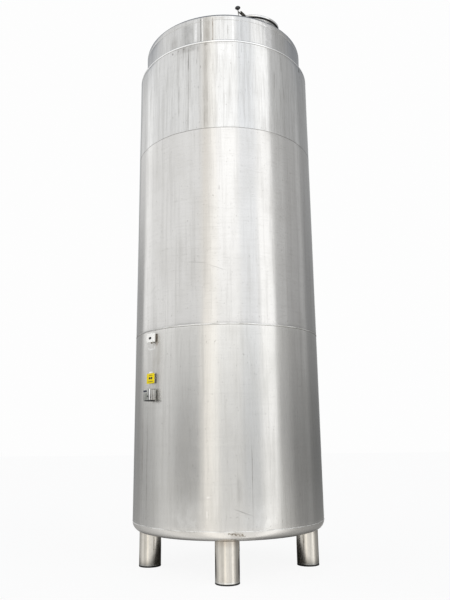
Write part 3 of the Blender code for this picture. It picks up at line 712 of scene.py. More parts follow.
# Weld metal run with a 304 filler: brushed bright, ground flush and dull, or left with the
# straw and brown tint of its heat.
WELD_GRAIN = Layer((7.0, 7.0, 7.0), 0.35, 0.70, rough=0.08, depth=0.00012, detail=2.0)
WELD_BRIGHT = Finish("304 stainless weld, brushed", "#f7f7f5", 0.44,
                     (Layer((120.0, 120.0, 120.0), 0.44, 0.62, "#aeaba4", 0.50), WELD_GRAIN),
                     # Painted shade: where it runs round the middle of the jacket, the bead is greyed on both
                     # sides of the front, so it is bright only at the front.
                     (Mark(-62.0, 36.0, 2.20, 2.40, 0.02, 0.85, "#a3a2a1"),
                      Mark(78.0, 36.0, 2.20, 2.40, 0.02, 0.70, "#a8a6a2")))
WELD_FAINT = Finish("304 stainless weld, planished", "#d6d5d2", 0.42,
                    (Layer((90.0, 90.0, 90.0), 0.42, 0.66, "#a19d96", 0.45), WELD_GRAIN))
# Near-black weld metal, for the bead round the foot of the manhole collar.
WELD_DARK = Finish("304 stainless weld, unbrushed", "#2e2c2a", 0.45,
                   (Layer((90.0, 90.0, 90.0), 0.42, 0.66, "#1d1b1a", 0.40),))
WELD_FLUSH = Finish("304 stainless weld, ground flush", "#a3a19d", 0.28,
                    (Layer((70.0, 70.0, 70.0), 0.42, 0.66, "#716d66", 0.55), WELD_GRAIN))
WELD_TINTED = Finish("304 stainless weld, heat tinted", "#aaa398", 0.36,
                     (Layer((40.0, 40.0, 40.0), 0.40, 0.64, "#6d6255", 0.65), WELD_GRAIN))

# ABS is even with a fine spark texture and yellows a little, polyamide is the same in black,
# polycarbonate is glassy, EPDM is dull with a grey bloom of dust and bakelite is glossy with
# faint flow marks. Their textures are drawn at about 1 mm.
SPARK = Layer((1.0, 1.0, 1.0), depth=0.00002, detail=1.0)
WHITE_ABS = Finish("ABS, white, moulded", "#fcfcfa", 0.40,
                   (Layer((20.0, 20.0, 30.0), 0.45, 0.75, "#e6e4da", 0.25), SPARK),
                   metallic=0.0, ior=1.54)
BLACK_PA = Finish("polyamide, black, moulded", "#18181b", 0.45,
                  (Layer((20.0, 20.0, 30.0), 0.42, 0.75, "#3a3833", 0.35), SPARK),
                  metallic=0.0, ior=1.53)
BROWN_PA = Finish("polyamide, grey-brown, moulded", "#635c52", 0.50,
                  (Layer((9.0, 9.0, 13.0), 0.40, 0.66, "#8b8375", 0.65), SPARK),
                  metallic=0.0, ior=1.53)
SMOKED_PC = Finish("polycarbonate, smoked, moulded", "#08080a", 0.16,
                   (Layer((15.0, 15.0, 15.0), 0.45, 0.75, "#1a1a1d", 0.40),), metallic=0.0, ior=1.58)
EPDM = Finish("EPDM, black, moulded", "#0b0b0c", 0.72,
              (Layer((20.0, 20.0, 20.0), 0.42, 0.75, "#35332e", 0.30),
               Layer((1.4, 1.4, 1.4), depth=0.00004, detail=1.0)), metallic=0.0, ior=1.52)
BAKELITE = Finish("bakelite, black, moulded", "#0b0b0e", 0.26,
                  (Layer((9.0, 9.0, 14.0), 0.45, 0.75, "#232327", 0.35),), metallic=0.0, ior=1.62, coat=0.3)

# Stove enamel and printed film: smooth, with a slight orange peel, faded in places.
PEEL = Layer((3.0, 3.0, 3.0), depth=0.00002, detail=1.0)
YELLOW = Finish("stove enamel, yellow", "#f4dc00", 0.50,
                (Layer((35.0, 35.0, 35.0), 0.45, 0.75, "#dfc408", 0.35), PEEL), metallic=0.0, ior=1.30)
INK = Finish("screen print, dark", "#15171c", 0.45,
             (Layer((8.0, 8.0, 8.0), 0.45, 0.75, "#3f3f31", 0.30), PEEL), metallic=0.0)
NAVY = Finish("polyester film, navy", "#0d1430", 0.30,
              (Layer((20.0, 20.0, 20.0), 0.45, 0.75, "#26304f", 0.35), PEEL), metallic=0.0)
GREY = Finish("polyester film, grey", "#8e918c", 0.32,
              (Layer((7.0, 7.0, 9.0), 0.42, 0.66, "#5b5d58", 0.55), PEEL), metallic=0.0)


class Weld(Enum):
    """How a weld was left."""

    BRUSHED = WELD_BRIGHT
    FAINT = WELD_FAINT
    FLUSH = WELD_FLUSH
    TINTED = WELD_TINTED
    DARK = WELD_DARK


# Pieces


def settle(piece: bpy.types.Object, body: str, slot: str, nodes: tuple[str, ...]) -> None:
    """Ride a piece on its body, hide the solids that it stands for, and log it.

    Args:
        piece: The finished piece.
        body: The body it moves with.
        slot: The material slot it belongs to; not used.
        nodes: The solids that it stands for.
    """
    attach(piece, body)
    if nodes:
        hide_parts(*nodes)
    LOG.info("%s: %d faces on %s", piece.name, len(piece.data.polygons), body)


def finish_mesh(name: str, mesh: bpy.types.Mesh, look: bpy.types.Material, sharp: float) -> bpy.types.Object:
    """Merge a mesh's doubles, turn its faces out, smooth it and put it in the scene.

    Args:
        name: Name of the piece.
        mesh: Its mesh.
        look: Its material.
        sharp: Edges that turn more than this, in degrees, stay sharp.

    Returns:
        The new object, at the origin.
    """
    shape = bmesh.new()
    shape.from_mesh(mesh)
    bmesh.ops.remove_doubles(shape, verts=shape.verts, dist=MERGE)
    bmesh.ops.dissolve_degenerate(shape, edges=shape.edges, dist=SLIVER)
    bmesh.ops.recalc_face_normals(shape, faces=shape.faces)
    shape.to_mesh(mesh)
    shape.free()
    mesh.shade_smooth()
    mesh.set_sharp_from_angle(angle=math.radians(sharp))
    mesh.materials.clear()
    mesh.materials.append(look)
    made = bpy.data.objects.new(name, mesh)
    bpy.context.scene.collection.objects.link(made)
    return made


def grid_mesh(name: str, patches: list[Patch]) -> bpy.types.Mesh:
    """Put several grids into one mesh.

    Args:
        name: Name of the mesh.
        patches: Its grids.

    Returns:
        The mesh.
    """
    points, quads, tris, start = [], [], [], 0
    for patch in patches:
        own_points, own_quads, own_tris = patch.corners()
        points.append(own_points)
        quads.append(own_quads + start)
        tris.append(own_tris + start)
        start += len(own_points)
    points, quads, tris = np.concatenate(points), np.concatenate(quads), np.concatenate(tris)
    mesh = bpy.data.meshes.new(name)
    mesh.vertices.add(len(points))
    mesh.vertices.foreach_set("co", points.astype(np.float32).ravel())
    sides = np.concatenate([np.full(len(quads), 4), np.full(len(tris), 3)])
    corners = np.concatenate([quads.ravel(), tris.ravel()]).astype(np.int32)
    mesh.loops.add(len(corners))
    mesh.loops.foreach_set("vertex_index", corners)
    mesh.polygons.add(len(sides))
    mesh.polygons.foreach_set("loop_start", (np.cumsum(sides) - sides).astype(np.int32))
    mesh.update(calc_edges=True)
    return mesh


def make_piece(
        name: str, patches: list[Patch], look: Finish, slot: str, nodes: tuple[str, ...] = (),
        body: str = "tank", sharp: float = SHARP_TURN) -> None:
    """Weld patches into one smooth closed piece, dress it and let it ride.

    Args:
        name: Name of the piece.
        patches: Its grids.
        look: Its finish.
        slot: The material slot it belongs to.
        nodes: The solids that it stands for.
        body: The body it moves with.
        sharp: Edges that turn more than this, in degrees, stay sharp.
    """
    piece = finish_mesh(name, grid_mesh(name, patches), look.material(), sharp)
    settle(piece, body, slot, nodes)


def softened_copy(node: str, look: Finish, width: float, slot: str, body: str) -> None:
    """Stand a copy of a solid in its place, merged and with its edges rounded a little.

    Args:
        node: The solid it copies.
        look: Its finish.
        width: Width of the rounding, in metres.
        slot: The material slot it belongs to.
        body: The body it moves with.
    """
    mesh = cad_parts[node].data.copy()
    shape = bmesh.new()
    shape.from_mesh(mesh)
    bmesh.ops.remove_doubles(shape, verts=shape.verts, dist=SOLID_MERGE)
    bmesh.ops.dissolve_limit(shape, angle_limit=math.radians(FLAT_TURN), verts=shape.verts, edges=shape.edges)
    shape.to_mesh(mesh)
    shape.free()
    piece = finish_mesh(f"{node}_plate", mesh, look.material(), PLATE_TURN)
    soften = piece.modifiers.new("rounded edges", "BEVEL")
    soften.width = width
    soften.segments = 2
    soften.limit_method = "ANGLE"
    soften.angle_limit = math.radians(PLATE_TURN)
    settle(piece, body, slot, (node,))


def round_weld(
        name: str, radius: float, z: float, width: float, height: float, kind: Weld, seeds: tuple[int, int],
        up: float = 0.0, slot: str = "jacket_stainless") -> None:
    """Lay a weld once round the tank: path = (radius cos t, radius sin t, z + slow waves(t)).

    Args:
        name: Name of the piece.
        radius: Radius of the joint.
        z: Height of the joint.
        width: Width of the bead.
        height: How far it stands out.
        kind: How it was left.
        seeds: Seeds of its path and of its own waves.
        up: How far its outward direction tips up, from 0 to 1.
        slot: The material slot it belongs to.
    """
    t = angles(ROUND_STEPS)
    path = polar(radius, t, z + waves(t, (4, 9, 17), WELD_WANDER, seeds[0]))
    weld = bead(path, polar(1.0 - up, t, up), width, height, seeds[1])
    make_piece(name, [weld], kind.value, slot)


# Sub-assemblies


@dataclass
class Jacket:
    """Welded outer shell: base pan, three courses and the closing ring, with their seams.

    The solids' radius is the crest of the highest weld, and the sheet lies a little inside it.
    """

    radius: float = 0.968
    sheet: float = 0.003
    bottom_z: float = 0.3637
    base_knuckle: float = 0.0874
    seams: tuple[float, ...] = (0.4511, 2.288, 4.288, 5.258)
    top_z: float = 5.286
    ring_knuckle: float = 0.013
    hole_radius: float = 0.8998
    columns: int = 512
    shrink: float = 0.0022
    dip: float = 0.0010
    dip_height: float = 0.016
    hold_height: float = 0.12
    hub: float = 0.02
    weld_radius: float = 0.9647
    courses: tuple[tuple[str, Finish, float], ...] = (
        ("lower", SHEET_LOWER, 38.0), ("middle", SHEET_MIDDLE, 112.0), ("upper", SHEET_UPPER, 68.0))

    def build(self) -> None:
        """Build the shell from the pan up."""
        self.build_pan()
        for number, (name, look, _) in enumerate(self.courses):
            self.build_course(name, self.seams[number], self.seams[number + 1], look, number)
        self.build_ring()
        self.build_seams()
        self.build_repair()

    def build_pan(self) -> None:
        """Flat underside that bends up to the first seam through a wide knuckle."""
        r = self.radius - self.base_knuckle
        z = self.seams[0]
        outer = np.concatenate([
            line((self.hub, self.bottom_z), (r - 0.01, self.bottom_z), 8),
            bend(r, z, self.base_knuckle, -90.0, 0.0, 18)])
        inner = bend(r, z, self.base_knuckle - self.sheet, 0.0, -90.0, 10)
        inner = np.concatenate([inner, [(self.hub, self.bottom_z + self.sheet)]])
        profile = np.concatenate([outer, inner])
        rim = np.clip((profile[:, 1] - self.bottom_z) / self.base_knuckle, 0.0, 1.0)[:, None]
        t = angles(self.columns)[None, :]
        swell = (waves(t, (3, 5, 9, 14), 0.0005, 11) - self.shrink) * rim
        swell[len(outer) - 1] -= self.dip
        grid = revolve(profile, self.columns, swell)
        make_piece("jacket_pan_sheet", plug(grid), SHEET_PAN, "jacket_stainless", ("jacket_base_pan",))

    def build_course(self, name: str, low: float, high: float, look: Finish, number: int) -> None:
        """Rolled sheet between two seams, with faint upright flats and edges drawn in by the welds.

        Radius = jacket radius + hold (flats(t) + slow(t) sin(pi u) + local(t) sin(2.3 pi u + 0.6))
        - dip exp(-(away / dip height)^2), for u from 0 at the seam below to 1 at the seam above,
        where hold grows from 0 to 1 away from the seams. The whole is then moved in by shrink, or
        further where it would pass the jacket radius.

        Args:
            name: Name of the course.
            low: Height of the seam below.
            high: Height of the seam above.
            look: Its finish.
            number: Its place from the bottom, for the seeds.
        """
        near = np.array([0.0, 0.002, 0.005, 0.009, 0.014, 0.020, 0.030])
        heights = np.concatenate([
            low + GAP + near, np.linspace(low + 0.05, high - 0.05, 40), high - near[::-1]])
        share = ((heights - low) / (high - low))[:, None]
        inner = line((self.radius - self.sheet, high), (self.radius - self.sheet, low + GAP), 4)
        profile = np.concatenate([np.stack([np.full(len(heights), self.radius), heights], -1), inner])
        t = angles(self.columns)[None, :]
        away = np.minimum(heights - low, high - heights)[:, None]
        hold = np.clip(away / self.hold_height, 0.0, 1.0)
        flats = waves(t, (23, 31, 43, 57, 76), 0.000055, 20 + number)
        slow = waves(t, (3, 5, 7), 0.00045, 30 + number) * np.sin(math.pi * share)
        local = waves(t, (9, 14, 19), 0.00022, 40 + number) * np.sin(2.3 * math.pi * share + 0.6)
        swell = hold * (flats + slow + local) - self.dip * np.exp(-(away / self.dip_height) ** 2)
        swell -= max(swell.max(), self.shrink)
        swell = np.concatenate([swell, np.full((len(inner), self.columns), -self.shrink)])
        grid = revolve(profile, self.columns, swell)
        make_piece(f"jacket_{name}_sheet", ring(grid), look, "jacket_stainless", (f"jacket_course_{name}",))

    def build_ring(self) -> None:
        """Flanged ring that turns in from the jacket to the vessel through a small bend."""
        edge = self.radius - self.shrink
        r, z = edge - self.ring_knuckle, self.top_z - self.ring_knuckle
        low = self.seams[3] + GAP
        outer = np.concatenate([
            line((edge - self.dip, low), (edge, low + 0.005), 2),
            bend(r, z, self.ring_knuckle, 0.0, 90.0, 10),
            line((r - 0.004, self.top_z), (self.hole_radius, self.top_z), 4)])
        inner = np.concatenate([
            [(self.hole_radius, self.top_z - self.sheet)],
            bend(r, z, self.ring_knuckle - self.sheet, 90.0, 0.0, 5),
            [(edge - self.sheet, low)]])
        grid = revolve(np.concatenate([outer, inner]), self.columns)
        make_piece("jacket_ring_sheet", ring(grid), SHEET_RING, "jacket_stainless", ("jacket_closing_ring",))

    def upright_weld(self, name: str, azimuth: float, low: float, high: float, seed: int) -> None:
        """Flush weld that closes one course from seam to seam.

        Args:
            name: Name of the piece.
            azimuth: Its direction in degrees from +X.
            low: Height of its foot.
            high: Height of its top.
            seed: Seed of its waves.
        """
        z = np.linspace(low + 0.006, high - 0.006, 420)
        t = math.radians(azimuth) + waves(np.linspace(0.0, TAU, len(z)), (3, 7, 11), 0.0006, seed)
        path = polar(self.radius - self.shrink - 0.0004, t, z)
        weld = bead(path, polar(1.0, t, 0.0), 0.006, 0.0009, seed, closed=False)
        make_piece(name, [weld], Weld.FAINT.value, "jacket_stainless")

    def build_seams(self) -> None:
        """Welds between the courses, round the closing ring, and up each course."""
        r, z = self.weld_radius, self.seams
        round_weld("seam_base_weld", r, z[0], 0.009, 0.0030, Weld.BRUSHED, (56, 51))
        round_weld("seam_lower_weld", r, z[1], 0.0125, 0.0032, Weld.BRUSHED, (57, 52))
        round_weld("seam_lower_edge", r, z[1] - 0.0085, 0.005, 0.0016, Weld.FLUSH, (57, 52))
        round_weld("seam_upper_weld", r, z[2], 0.007, 0.0012, Weld.FLUSH, (58, 53))
        round_weld("seam_ring_weld", r, z[3], 0.008, 0.0014, Weld.FLUSH, (59, 54))
        inside = (self.hole_radius, self.top_z + 0.0005)
        round_weld("ring_vessel_weld", *inside, 0.008, 0.003, Weld.TINTED, (60, 55), 0.6)
        for number, (name, _, azimuth) in enumerate(self.courses):
            self.upright_weld(f"course_{name}_weld", azimuth, z[number], z[number + 1], 60 + number)

    def build_repair(self) -> None:
        """Rough weld of a repair on the pan's knuckle beside the front leg, run to and fro.

        The angle up the knuckle is lift(u) and the angle round the tank is turn(u), both a slow
        line with a sine on it, for u from 0 to 1.
        """
        u = np.linspace(0.0, 1.0, 260)
        lift = np.radians(-11.0 - 12.0 * u + 7.0 * np.sin(9.0 * TAU * u) * (0.4 + 0.6 * u))
        turn = np.radians(-89.5 + 9.0 * u + 0.5 * np.sin(5.0 * TAU * u + 1.0))
        r = self.base_knuckle - self.shrink
        across = self.radius - self.base_knuckle + r * np.cos(lift)
        path = polar(across, turn, self.seams[0] + r * np.sin(lift))
        out = polar(np.cos(lift), turn, np.sin(lift))
        weld = bead(path, out, 0.007, 0.0016, 58, closed=False)
        make_piece("pan_repair_weld", [weld], Weld.TINTED.value, "jacket_stainless")


@dataclass
class Vessel:
    """Inner vessel: the shell that shows above the jacket, and the conical roof."""

    radius: float = 0.8995
    sheet: float = 0.004
    seams: tuple[float, float, float] = (0.540, 3.060, 5.565)
    knuckle_z: float = 5.607
    knuckle: float = 0.035
    slope: float = 10.0
    peak: float = 0.03
    drawn: float = 0.0008
    weld_inset: float = 0.0012
    columns: int = 512

    def cone_z(self, x: Array, y: Array) -> Array:
        """Return the roof's height over a point: peak - tan(slope) r, with a softly rounded peak.

        Args:
            x: Points' x.
            y: Points' y.

        Returns:
            Heights in metres.
        """
        s = math.radians(self.slope)
        edge_r = self.radius - self.knuckle + self.knuckle * math.sin(s)
        edge_z = self.knuckle_z + self.knuckle * math.cos(s)
        r = np.sqrt(x * x + y * y + self.peak ** 2)
        return edge_z + (edge_r - r) * math.tan(s)

    def build(self, mouth: Array) -> None:
        """Build the shell, the roof and their weld.

        Args:
            mouth: Points round the manhole's hole in the roof.
        """
        self.build_shell("lower", self.seams[0], self.seams[1])
        self.build_shell("upper", self.seams[1], self.seams[2])
        self.build_knuckle()
        self.build_cone(mouth)
        joint = (self.radius - self.weld_inset, self.seams[2])
        round_weld("roof_shell_weld", *joint, 0.008, 0.0012, Weld.FAINT, (71, 72), slot="vessel_stainless")

    def build_shell(self, name: str, low: float, high: float) -> None:
        """Rolled sheet of the vessel: radius + flats(t), drawn in below the seam above.

        Args:
            name: Which course.
            low: Height of its foot.
            high: Height of its top.
        """
        half_drawn, top = (self.radius - self.drawn / 2.0, high - 0.006), (self.radius - self.drawn, high)
        outer = np.concatenate([
            line((self.radius, low + GAP), (self.radius, high - 0.05), 6),
            [(self.radius, high - 0.02), half_drawn, top]])
        inner = line((self.radius - self.sheet, high), (self.radius - self.sheet, low + GAP), 6)
        flats = waves(angles(self.columns)[None, :], (19, 31, 47, 66), 0.00008, 75)
        swell = np.concatenate([np.tile(flats, (len(outer), 1)), np.zeros((len(inner), self.columns))]) - GAP
        grid = revolve(np.concatenate([outer, inner]), self.columns, swell)
        node = f"vessel_shell_{name}"
        make_piece(f"vessel_{name}_sheet", ring(grid), SHEET_NECK, "vessel_stainless", (node,))

    def build_knuckle(self) -> None:
        """Straight flange and rounded edge of the roof."""
        r, foot = self.radius - self.knuckle, self.seams[2] + GAP
        stop = 90.0 - self.slope
        outer = np.concatenate([
            [(self.radius - self.drawn, foot), (self.radius, foot + 0.008)],
            bend(r, self.knuckle_z, self.knuckle, 0.0, stop, 14)])
        inner = np.concatenate([
            bend(r, self.knuckle_z, self.knuckle - self.sheet, stop, 0.0, 8),
            [(self.radius - self.sheet, foot)]])
        grid = revolve(np.concatenate([outer, inner]), self.columns)
        make_piece("roof_edge_sheet", ring(grid), SHEET_NECK, "vessel_stainless", ("roof_knuckle",))

    def build_cone(self, mouth: Array) -> None:
        """Cone with the manhole's hole: point = (1 - v) mouth + v edge circle, at the cone's height.

        Args:
            mouth: Points round the hole.
        """
        s = math.radians(self.slope)
        middle = mouth.mean(0)
        t = np.arctan2(mouth[:, 1] - middle[1], mouth[:, 0] - middle[0])[None, :]
        edge = self.radius - self.knuckle + self.knuckle * math.sin(s) - GAP
        v = np.linspace(0.0, 1.0, 28)[:, None] ** 1.15
        x = (1.0 - v) * mouth[None, :, 0] + v * edge * np.cos(t)
        y = (1.0 - v) * mouth[None, :, 1] + v * edge * np.sin(t)
        top = np.stack([x, y, self.cone_z(x, y)], -1)
        under = np.stack([x, y, self.cone_z(x, y) - self.sheet], -1)[::-1]
        sheet = ring(np.concatenate([top, under]))
        make_piece("roof_cone_sheet", sheet, SHEET_ROOF, "vessel_stainless", ("roof",))


@dataclass
class Leg:
    """Tube leg under the base pan, on a rubber pad, with its weld to the pan."""

    jacket: Jacket
    name: str
    direction: float
    radius: float = 0.1096
    wall: float = 0.005
    circle: float = 0.794
    pad: float = 0.008
    pad_lip: float = 0.0007
    pad_top: float = 0.014
    foot: float = 0.020
    foot_round: float = 0.003
    columns: int = 96

    def pan_z(self, x: Array, y: Array) -> Array:
        """Return the pan's underside over a point: flat, then up round the knuckle.

        Args:
            x: Points' x.
            y: Points' y.

        Returns:
            Heights in metres.
        """
        knuckle = self.jacket.base_knuckle
        over = np.clip(np.hypot(x, y) - (self.jacket.radius - knuckle), 0.0, knuckle)
        return self.jacket.seams[0] - np.sqrt(knuckle ** 2 - over ** 2)

    def wall_points(self, radius: float, shares: Array, low: float) -> Array:
        """Return a tube wall from its foot up to the pan: z = low + share (pan z - low).

        Args:
            radius: Radius of the wall.
            shares: Shares of the height, from 0 to 1.
            low: Height of the foot.

        Returns:
            A shares x columns x 3 grid.
        """
        t = angles(self.columns)[None, :]
        a = math.radians(self.direction)
        x = self.circle * math.cos(a) + radius * np.cos(t)
        y = self.circle * math.sin(a) + radius * np.sin(t)
        z = low + shares[:, None] * (self.pan_z(x, y) - GAP - low)
        return np.stack([x + 0.0 * z, y + 0.0 * z, z], -1)

    def build(self) -> None:
        """Build the tube, its ground foot, the pad with its lip round the foot, and the weld."""
        low = self.pad + GAP
        joint = low + self.foot
        shares = np.linspace(0.0, 1.0, 10)
        outer = self.wall_points(self.radius, shares, joint)
        inner = self.wall_points(self.radius - self.wall, shares[::3], joint)[::-1]
        tube = ring(np.concatenate([outer, inner]))
        make_piece(f"leg_{self.name}_tube", tube, TUBE, "leg_stainless", (f"leg_{self.name}",))

        a = math.radians(self.direction)
        middle = (self.circle * math.cos(a), self.circle * math.sin(a), 0.0)
        r, rim = self.radius, self.foot_round
        profile = np.concatenate([
            [(r, joint - GAP), (r, low + 0.007)], bend(r - rim, low + rim, rim, 20.0, -90.0, 4),
            [(r - self.wall, low), (r - self.wall, joint - GAP)]])
        foot = ring(place(revolve(profile, self.columns), middle, 0.0))
        make_piece(f"leg_{self.name}_foot", foot, TUBE_FOOT, "leg_stainless")

        edge, lip, hub, clear = 0.0015, self.pad_lip, r - 0.02, 0.0001
        profile = np.concatenate([
            [(hub, 0.0)], bend(r + lip - edge, edge, edge, -90.0, 0.0, 3),
            [(r + lip, self.pad_top - 0.0005), (r + 0.0004, self.pad_top), (r + clear, self.pad_top - 0.0005),
             (r + clear, self.pad), (hub, self.pad)]])
        rubber = plug(place(revolve(profile, self.columns), middle, 0.0))
        make_piece(f"pad_{self.name}_rubber", rubber, EPDM, "pad_rubber", (f"foot_pad_{self.name}",))

        t = angles(360)
        path = polar(self.radius, t, 0.0) + np.array(middle)
        path[:, 2] = self.pan_z(path[:, 0], path[:, 1]) - 0.001
        weld = bead(path, polar(1.0, t, -0.8), 0.010, 0.005, 80)
        make_piece(f"leg_{self.name}_weld", [weld], Weld.TINTED.value, "leg_stainless")


@dataclass
class Manhole:
    """Round manhole square on the cone: collar, hinged lid, gasket, fork and swing bolt."""

    vessel: Vessel
    centre: Point = (0.379, -0.4295, 5.775)
    facing: float = -123.0
    bore: float = 0.232
    wall: float = 0.004
    lip: float = 0.012
    lid_radius: float = 0.262
    rim_width: float = 0.017
    rim_top: float = 0.034
    edge: float = 0.008
    rise: float = 0.028
    groove_depth: float = 0.0022
    groove_r: float = 0.150
    groove_width: float = 0.008
    sheet: float = 0.004
    gasket_inner: float = 0.228
    gasket_height: float = 0.012
    hinge: Point = (-0.295, 0.0, 0.008)
    clevis: Point = (0.325, 0.0, -0.060)
    bevel: float = 0.0009
    guess: float = -0.08
    rounds: int = 8
    columns: int = 144

    def local(self, points: Array) -> Array:
        """Put points from the manhole's frame, square on the cone, into the tank's.

        Args:
            points: Any array whose last axis is x, y, z.

        Returns:
            The points in the tank's frame.
        """
        outward = math.degrees(math.atan2(self.centre[1], self.centre[0]))
        turned = place(points, (0.0, 0.0, 0.0), self.facing - outward)
        return place(turned, self.centre, outward, self.vessel.slope)

    def on_cone(self, radius: float, count: int, lift: float) -> Array:
        """Return points of a round wall where it meets the cone, in the manhole's frame.

        Each point starts near the cone and is lowered by its height over the cone until none is left.

        Args:
            radius: Radius of the wall.
            count: Number of points.
            lift: How far over the cone they lie.

        Returns:
            A count x 3 array.
        """
        points = polar(radius, angles(count), self.guess)
        for _ in range(self.rounds):
            now = self.local(points)
            points[:, 2] -= now[:, 2] - self.vessel.cone_z(now[:, 0], now[:, 1]) - lift
        return points

    def mouth(self) -> Array:
        """Return the hole in the roof, in the tank's frame."""
        return self.local(self.on_cone(self.bore, 256, 0.0))

    def build(self) -> None:
        """Build the collar, lid, gasket and ironwork."""
        self.build_collar()
        self.build_lid()
        self.build_gasket()
        self.build_ironwork()

    def build_collar(self) -> None:
        """Short neck with a seat lip, whose foot follows the cone."""
        outside = self.bore + self.wall
        lip = outside + self.lip
        profile = np.array([
            (outside, -0.03), (outside, -self.wall - 0.002), (outside + 0.002, -self.wall),
            (lip - 0.001, -self.wall), (lip, 0.001 - self.wall), (lip, -0.001), (lip - 0.001, 0.0),
            (self.bore + 0.001, 0.0), (self.bore, -0.001), (self.bore, -0.03)])
        rows = [self.on_cone(outside, self.columns, GAP)[None], revolve(profile, self.columns),
                self.on_cone(self.bore, self.columns, GAP)[None]]
        neck = ring(self.local(np.concatenate(rows)))
        make_piece("manhole_neck_sheet", neck, PRESSED, "vessel_stainless", ("manhole_collar",))

        foot = self.on_cone(outside, 720, 0.001)
        out = foot * np.array([1.0, 1.0, 0.0]) / outside + np.array([0.0, 0.0, 0.9])
        path = self.local(foot)
        out = self.local(foot + out) - path
        weld = bead(path, out, 0.011, 0.0075, 91)
        make_piece("manhole_neck_weld", [weld], Weld.DARK.value, "vessel_stainless")

    def build_lid(self) -> None:
        """Pressed dome with a rolled edge and a pressed groove, on its rim.

        The dome is z = rim top + rise (1 - k k) - groove(r), where k = r / dome radius.
        """
        dome_r, inner_r = self.lid_radius - self.edge, self.lid_radius - self.rim_width
        low, inside_z = self.rim_top - self.edge, self.rim_top - self.sheet
        k = np.linspace(0.97, 0.04, 30)
        groove = self.groove_depth * np.exp(-((k * dome_r - self.groove_r) / self.groove_width) ** 2) + 0.0008
        over = np.stack([k * dome_r, self.rim_top + self.rise * (1.0 - k * k) - groove], -1)
        k = k[::3]
        under = np.stack([k * inner_r, inside_z + self.rise * (1.0 - k ** 2)], -1)
        profile = np.concatenate([
            under[::-1], [(inner_r, inside_z), (inner_r, low)],
            bend(dome_r, low, self.edge, 0.0, 90.0, 7), over])
        dome = plug(self.local(revolve(profile, self.columns)))
        make_piece("lid_dome_sheet", dome, PRESSED, "lid_stainless", ("manhole_lid",), "lid")

        foot, top = self.gasket_height + GAP, low - GAP
        profile = np.array([
            (self.lid_radius, foot + 0.001), (self.lid_radius, top), (inner_r, top), (inner_r, foot),
            (self.lid_radius - 0.001, foot)])
        rim = ring(self.local(revolve(profile, self.columns)))
        make_piece("lid_rim_ring", rim, PRESSED, "lid_stainless", ("lid_rim",), "lid")

    def build_gasket(self) -> None:
        """Rubber ring whose outer face bulges where the rim presses on it."""
        r, top, cut = self.gasket_inner, self.gasket_height, 0.001
        bulge = bend(self.lid_radius - 0.0045, top / 2.0, 0.0058, -70.0, 70.0, 6)
        profile = np.concatenate([bulge, [(r + cut, top), (r, top - cut), (r, GAP + cut), (r + cut, GAP)]])
        profile[0, 1], profile[len(bulge) - 1, 1] = GAP, top
        rubber = ring(self.local(revolve(profile, self.columns)))
        make_piece("lid_gasket_ring", rubber, EPDM, "gasket_rubber", ("lid_gasket",), "lid")

    def build_ironwork(self) -> None:
        """Fork, lug, bracket and clevis with their edges broken, and the two pins."""
        plates = (("lid_fork", "lid"), ("lid_hinge_lug", "lid"), ("lid_hinge_bracket", "tank"),
                  ("bolt_clevis", "tank"))
        for node, body in plates:
            softened_copy(node, PICKLED, self.bevel, "fitting_stainless", body)
        pins = (("lid_hinge_pin", 0.006, 0.054, self.hinge), ("bolt_clevis_pin", 0.005, 0.038, self.clevis))
        for node, radius, length, middle in pins:
            profile = turned(radius * 0.5, radius, length / 2.0, 0.001)
            bar = plug(self.local(sideways(revolve(profile, 24)) + np.array(middle)))
            make_piece(f"{node}_bar", bar, TURNED, "fitting_stainless", (node,))


